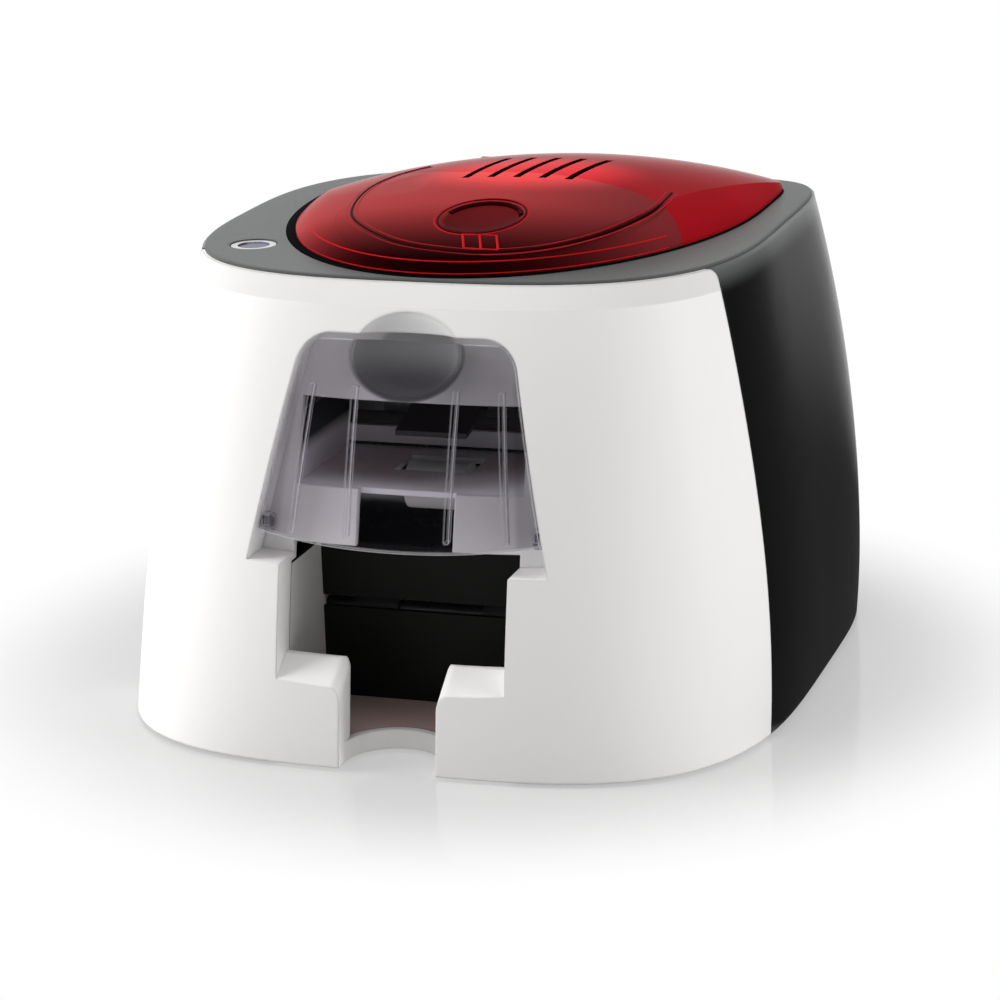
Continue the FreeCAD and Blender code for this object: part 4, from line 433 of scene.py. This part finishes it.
def liner_plastic():
    """Pale side walls, a brownish floor, and painted shade making the back wall near black."""
    floor_high, floor_low = 0.02, 0.015
    dark, brown = (0.006, 0.006, 0.0055), (0.42, 0.32, 0.29)
    graph = finish("liner_grey", (0.62, 0.62, 0.6), 0.5, IOR=1.2)
    facing_x, _, facing_z = graph.facing()
    across = graph.span(graph.math("ABSOLUTE", facing_x), 0.6, 0.8)
    level = graph.math("MULTIPLY", graph.span(facing_z, 0.6, 0.8),
                       graph.span(graph.axes()[2], floor_high, floor_low))
    # Painted shade: faces that are neither side walls nor low floor turn near black.
    colour = graph.blend(level, dark, brown)
    graph.set(Base_Color=graph.blend(across, colour, graph.colour))
    return graph.material


def line_red(name, colour):
    """A thin drawn line of red, without much shine."""
    graph = finish(name, colour, 0.12, vary=0.05, patch=0.02, depth=0.000001, rough_vary=0.03, IOR=1.03)
    return graph.material


made["casing_white"] = white_plastic()
made["casing_black"] = black_plastic()
made["lid_red"] = red_plastic()
made["cover_smoke"] = smoke_plastic()
made["liner_grey"] = liner_plastic()
made["feeder_grey"] = feeder_plastic()
made["smoke_pins"] = pin_plastic()
made["roller_rubber"] = roller_rubber()
# Painted shadow: near black for the band that stands in the gap round the top cover.
painted_gap_shade = finish("painted_gap_shade", (0.004, 0.004, 0.0045), 0.8, IOR=1.04).material
# Thin red lines on the top cover: a dark red of painted shade and a paler red of painted highlight.
line_painted_shade = line_red("lid_line_painted_shade", (0.03, 0.001, 0.002))
line_painted_soft_highlight = line_red("lid_line_painted_soft_highlight", (0.3, 0.02, 0.024))
# line_lit paints the highlights on the dimple's rim and the cover's edge, and also colours the bars in front
# of the dimple.
line_lit = line_red("lid_line_lit", (0.5, 0.01, 0.015))


def dress():
    for row in frame["record"]["subparts"]:
        data = nodes[row["node"]].data
        data.materials.clear()
        data.materials.append(made[row["material_slot"]])


dress()


# Top cover's outline and crown

COVER_MIDDLE_X, COVER_HALF_WIDTH = 0.0049, 0.0913
COVER_FRONT, COVER_WIDEST, COVER_REAR = 0.0846, 0.0518, 0.1102
ROUND_POWER, SQUARE_POWER = 2.0, 6.8
CROWN_MIDDLE = (0.0149, 0.0201)
CROWN_RADII = (0.2064, 0.2222, 0.12)
CROWN_TOP = 0.195
DECK_LEVEL = 0.175


def lid_outline(inset, angle):
    """A place on the top cover's outline, drawn in as its slope is."""
    shift_share, front_share, rear_share = 0.4, 0.85, 0.5
    across, along = math.cos(angle), math.sin(angle)
    middle = COVER_MIDDLE_X + shift_share * inset
    front = COVER_FRONT - front_share * inset
    rear = COVER_REAR - rear_share * inset
    power = SQUARE_POWER if along > 0 and across > 0 else ROUND_POWER
    reach = rear - COVER_WIDEST if along > 0 else front + COVER_WIDEST
    share = (abs(across) ** power + abs(along) ** power) ** (-1 / power)
    return middle + (COVER_HALF_WIDTH - inset) * across * share, COVER_WIDEST + reach * along * share


def on_crown(x, y, sink):
    """A place a little below the top cover's crown."""
    across, along = (x - CROWN_MIDDLE[0]) / CROWN_RADII[0], (y - CROWN_MIDDLE[1]) / CROWN_RADII[1]
    fall = CROWN_RADII[2] * (1 - math.sqrt(1 - across * across - along * along))
    return Vector((x, y, CROWN_TOP - fall - sink))


# Lines on the top cover

LINE_SINK = 0.00012
CREASE_MIDDLE = Vector((0.011, -0.008))
CREASE_PLACES = (
    (-0.04, 0.047), (-0.047, 0.038), (-0.051, 0.022), (-0.052, 0.004), (-0.0495, -0.015), (-0.0447, -0.0334),
    (-0.0345, -0.0487), (-0.02, -0.063), (-0.0075, -0.0706), (0.0102, -0.0752), (0.0252, -0.0756),
    (0.0445, -0.0676), (0.0601, -0.0505), (0.0692, -0.0281), (0.0723, -0.008), (0.0715, 0.008),
)
# The crease's dark bead is painted shadow and its paler beads are painted highlights.
CREASES = (
    dict(name="lid_crease", inward=0.0, sink=0.00025, radius=0.0007, material=line_painted_shade),
    dict(name="lid_crease_light", inward=0.0019, sink=0.0001, radius=0.00035, material=line_painted_soft_highlight),
    dict(name="lid_crease_outer", inward=-0.002, sink=LINE_SINK, radius=0.0003, material=line_painted_soft_highlight),
)
DIMPLE_HALF_WIDTH, DIMPLE_HALF_LENGTH = 0.0156, 0.017
# A dark rim of painted shade and a bright rim of painted highlight round the dimple.
DIMPLE_RIMS = (
    dict(name="dimple_rim", grow=0.001, radius=0.0004, material=line_painted_shade),
    dict(name="dimple_rim_light", grow=0.0022, radius=0.0003, material=line_lit),
)
BAR_COUNT = 3
BAR_LEFT, BAR_STEP, BAR_LEAN = 0.0104, 0.0066, 0.0042
BAR_REAR, BAR_FRONT = -0.0615, -0.073
# Bright lines of painted highlight along the top cover's edge.
EDGE_LIGHTS = (
    dict(inset=0.0001, level=0.1766, radius=0.00028),
    dict(inset=0.0034, level=0.1805, radius=0.00032),
)


def lid_bead(name, points, radius, material, cyclic=False):
    """A round bead along a smooth line on the top cover."""
    curve = bpy.data.curves.new(name, "CURVE")
    curve.dimensions = "3D"
    curve.bevel_depth = radius
    curve.bevel_resolution = 3
    curve.use_fill_caps = True
    line = curve.splines.new("NURBS")
    line.points.add(len(points) - 1)
    for point, place in zip(line.points, points):
        point.co = (*place, 1)
    line.order_u = 3
    line.use_cyclic_u = cyclic
    line.use_endpoint_u = not cyclic
    curve.materials.append(material)
    thing = bpy.data.objects.new(name, curve)
    scene.collection.objects.link(thing)
    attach(thing, "lid")


def round_dimple(angle, half_width, half_length, sink):
    x = DIMPLE_PLACE[0] + half_width * math.cos(angle)
    return on_crown(x, DIMPLE_PLACE[1] + half_length * math.sin(angle), sink)


def straight_bar(start, end):
    start, end = Vector(start), Vector(end)
    return [on_crown(*start.lerp(end, share), LINE_SINK) for share in (0, 0.33, 0.66, 1)]


def lid_creases():
    """The raised band's crease as a dark bead of painted shadow, with a bead of painted highlight on each
    side of it.
    """
    for crease in CREASES:
        line = []
        for place in CREASE_PLACES:
            out = Vector(place) - CREASE_MIDDLE
            flat = CREASE_MIDDLE + out * (1 - crease["inward"] / out.length)
            line.append(on_crown(*flat, crease["sink"]))
        lid_bead(crease["name"], line, crease["radius"], crease["material"])


def dimple_lines():
    """The dimple's rims, a dark ring of painted shade and a ring of painted highlight, and a dark bead of
    painted shade on its rear wall.
    """
    rim_steps = 48
    for rim in DIMPLE_RIMS:
        half_width, half_length = DIMPLE_HALF_WIDTH + rim["grow"], DIMPLE_HALF_LENGTH + rim["grow"]
        line = [round_dimple(2 * math.pi * step / rim_steps, half_width, half_length, LINE_SINK)
                for step in range(rim_steps)]
        lid_bead(rim["name"], line, rim["radius"], rim["material"], cyclic=True)
    shade_steps, shade_start, shade_turn = 14, 15, 150
    shade_inset, shade_sink, shade_radius = 0.001, 0.0011, 0.001
    shade = []
    for step in range(shade_steps + 1):
        angle = math.radians(shade_start + shade_turn * step / shade_steps)
        shade.append(round_dimple(angle, DIMPLE_HALF_WIDTH - shade_inset, DIMPLE_HALF_LENGTH - shade_inset,
                                  shade_sink))
    lid_bead("dimple_shade", shade, shade_radius, line_painted_shade)


def shell_bars():
    """A small ladder of bars in front of the dimple."""
    bar_radius, rung_radius = 0.0005, 0.0004
    for number in range(BAR_COUNT):
        x = BAR_LEFT + number * BAR_STEP
        bar = straight_bar((x, BAR_REAR), (x + BAR_LEAN, BAR_FRONT))
        lid_bead(f"shell_bar_{number}", bar, bar_radius, line_lit)
    width = (BAR_COUNT - 1) * BAR_STEP
    for number, (left, y) in enumerate(((BAR_LEFT, BAR_REAR), (BAR_LEFT + BAR_LEAN, BAR_FRONT))):
        rung = straight_bar((left, y), (left + width, y))
        lid_bead(f"shell_rung_{number}", rung, rung_radius, line_lit)


def edge_lights():
    """Painted highlights: bright lines along the front of the top cover's edge."""
    steps, start, turn = 30, -140, 105
    for number, light in enumerate(EDGE_LIGHTS):
        streak = []
        for step in range(steps + 1):
            x, y = lid_outline(light["inset"], math.radians(start + turn * step / steps))
            streak.append(Vector((x, y, light["level"])))
        lid_bead(f"lid_edge_light_{number}", streak, light["radius"], line_lit)


def lid_gap_shade():
    """A thin black band of painted shadow in the gap round the top cover's edge, widest at the left."""
    steps, lift = 160, 0.00004
    least_width, more_width, lean, power = 0.0009, 0.0026, 0.1, 1.1
    mesh = bpy.data.meshes.new("cover_gap_shade")
    shape = bmesh.new()
    rings = []
    for step in range(steps):
        angle = 2 * math.pi * step / steps
        width = least_width + more_width * max(0.0, -math.cos(angle + lean)) ** power
        section = ((0.0016, lift), (0.0014, 0.0005), (-0.0002, 0.00055), (-0.6 * width, 0.0004),
                   (-width, lift))
        rings.append([shape.verts.new((*lid_outline(inset, angle), DECK_LEVEL + height))
                      for inset, height in section])
    for step in range(steps):
        first, second = rings[step], rings[(step + 1) % steps]
        for k in range(len(first)):
            n = (k + 1) % len(first)
            shape.faces.new((first[k], first[n], second[n], second[k]))
    bmesh.ops.recalc_face_normals(shape, faces=shape.faces)
    for face in shape.faces:
        face.smooth = True
    shape.to_mesh(mesh)
    shape.free()
    mesh.materials.append(painted_gap_shade)
    thing = bpy.data.objects.new("cover_gap_shade", mesh)
    scene.collection.objects.link(thing)
    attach(thing, "housing")


lid_creases()
dimple_lines()
shell_bars()
edge_lights()
lid_gap_shade()


# Studio

DARK_SIDE = (0.5449, 0.2204, -0.2436)
WHITE_STOP, EDGE_STOP, DARK_STOP = 0.3, 0.82, 0.93
DARK_LEVEL = 0.04
AMBIENT_COLOUR, AMBIENT_LEVEL = (1.0, 0.93, 0.905, 1), 0.2


def directional(tree, direction, bright):
    """White over most directions, and dark towards the right and the back."""
    lean = tree.nodes.new("ShaderNodeVectorMath")
    lean.operation = "DOT_PRODUCT"
    tree.links.new(direction, lean.inputs[0])
    lean.inputs[1].default_value = DARK_SIDE
    shift = tree.nodes.new("ShaderNodeMapRange")
    shift.inputs["From Min"].default_value = -0.5
    shift.inputs["From Max"].default_value = 0.5
    tree.links.new(lean.outputs["Value"], shift.inputs["Value"])
    ramp = tree.nodes.new("ShaderNodeValToRGB")
    tree.links.new(shift.outputs["Result"], ramp.inputs[0])
    stops = ramp.color_ramp.elements
    stops[0].position, stops[0].color = WHITE_STOP, (bright, bright, bright, 1)
    stops[1].position, stops[1].color = EDGE_STOP, (1, 1, 1, 1)
    last = stops.new(DARK_STOP)
    last.color = (DARK_LEVEL, DARK_LEVEL, DARK_LEVEL, 1)
    return ramp.outputs["Color"]


def studio():
    """A white room: plain to the camera, dim to pale surfaces, and dark on one side to shiny ones."""
    world = bpy.data.worlds.new("room")
    world.use_nodes = True
    tree = world.node_tree
    tree.nodes.clear()
    output = tree.nodes.new("ShaderNodeOutputWorld")
    ambient = tree.nodes.new("ShaderNodeBackground")
    ambient.inputs["Color"].default_value = AMBIENT_COLOUR
    ambient.inputs["Strength"].default_value = AMBIENT_LEVEL
    white = tree.nodes.new("ShaderNodeBackground")
    white.inputs["Strength"].default_value = 1.0
    mirrored = tree.nodes.new("ShaderNodeBackground")
    place = tree.nodes.new("ShaderNodeTexCoord")
    tree.links.new(directional(tree, place.outputs["Generated"], 1.0), mirrored.inputs["Color"])
    path = tree.nodes.new("ShaderNodeLightPath")
    seen = tree.nodes.new("ShaderNodeMath")
    seen.operation = "MAXIMUM"
    tree.links.new(path.outputs["Is Camera Ray"], seen.inputs[0])
    tree.links.new(path.outputs["Is Transmission Ray"], seen.inputs[1])
    first = tree.nodes.new("ShaderNodeMixShader")
    tree.links.new(path.outputs["Is Glossy Ray"], first.inputs[0])
    tree.links.new(ambient.outputs[0], first.inputs[1])
    tree.links.new(mirrored.outputs[0], first.inputs[2])
    last = tree.nodes.new("ShaderNodeMixShader")
    tree.links.new(seen.outputs[0], last.inputs[0])
    tree.links.new(first.outputs[0], last.inputs[1])
    tree.links.new(white.outputs[0], last.inputs[2])
    tree.links.new(last.outputs[0], output.inputs["Surface"])
    scene.world = world


def make_floor():
    """A white floor that keeps a weak shadow and a faint reflection under the object."""
    radius, sides = 6.0, 96
    grey, near_glow, glow_to_surfaces = 0.5, 0.4, 0.85
    fade_from, fade_to = 0.15, 0.24
    floor_mesh = bpy.data.meshes.new("floor")
    shape = bmesh.new()
    bmesh.ops.create_circle(shape, cap_ends=True, segments=sides, radius=radius)
    shape.to_mesh(floor_mesh)
    shape.free()
    floor = bpy.data.objects.new("floor", floor_mesh)
    scene.collection.objects.link(floor)
    graph = Graph("floor")
    graph.set(Base_Color=(grey, grey, grey, 1), Roughness=0.1, Specular_IOR_Level=0.5)
    path = graph.add("ShaderNodeLightPath")
    glow = graph.add("ShaderNodeEmission")
    strength = graph.span(path.outputs["Is Camera Ray"], 0, 1, glow_to_surfaces, 1.0)
    graph.join(strength, glow.inputs["Strength"])
    near = graph.add("ShaderNodeMixShader")
    near.inputs[0].default_value = near_glow
    graph.join(graph.shader.outputs[0], near.inputs[1])
    graph.join(glow.outputs[0], near.inputs[2])
    reach = graph.add("ShaderNodeVectorMath", operation="LENGTH")
    graph.join(graph.place, reach.inputs[0])
    fade = graph.add("ShaderNodeMixShader")
    graph.join(graph.span(reach.outputs["Value"], fade_from, fade_to, smooth=True), fade.inputs[0])
    graph.join(near.outputs[0], fade.inputs[1])
    graph.join(glow.outputs[0], fade.inputs[2])
    # Shiny surfaces see the floor as they see the room behind it.
    mirrored = graph.add("ShaderNodeEmission")
    straight = graph.add("ShaderNodeVectorMath", operation="NORMALIZE")
    graph.join(graph.place, straight.inputs[0])
    graph.join(directional(graph.tree, straight.outputs["Vector"], 0.9), mirrored.inputs["Color"])
    mirror = graph.add("ShaderNodeMixShader")
    graph.join(path.outputs["Is Glossy Ray"], mirror.inputs[0])
    graph.join(fade.outputs[0], mirror.inputs[1])
    graph.join(mirrored.outputs[0], mirror.inputs[2])
    graph.join(mirror.outputs[0], graph.output.inputs["Surface"])
    floor_mesh.materials.append(graph.material)


LAMP_AIM = (0, 0, 0.1)
LAMPS = {
    "overhead": dict(place=(-0.3, 0.1, 1.6), size=(1.2, 1.2), power=16.0),
    "left": dict(place=(-1.45, -0.5, 0.4), size=(0.7, 1.0), power=23.0),
    "right": dict(place=(1.5, -0.1, 0.5), size=(0.5, 1.0), power=14.0),
}


def lamp(name, place, size, power):
    """A soft rectangular light that shows in no reflection."""
    data = bpy.data.lights.new(name, "AREA")
    data.shape = "RECTANGLE"
    data.size, data.size_y = size
    data.energy = power
    thing = bpy.data.objects.new(name, data)
    thing.location = place
    thing.rotation_mode = "QUATERNION"
    thing.rotation_quaternion = (Vector(LAMP_AIM) - Vector(place)).to_track_quat("-Z", "Y")
    thing.visible_glossy = False
    scene.collection.objects.link(thing)


studio()
make_floor()
for lamp_name, values in LAMPS.items():
    lamp(lamp_name, **values)
set_camera()

scene.view_settings.view_transform = "Standard"
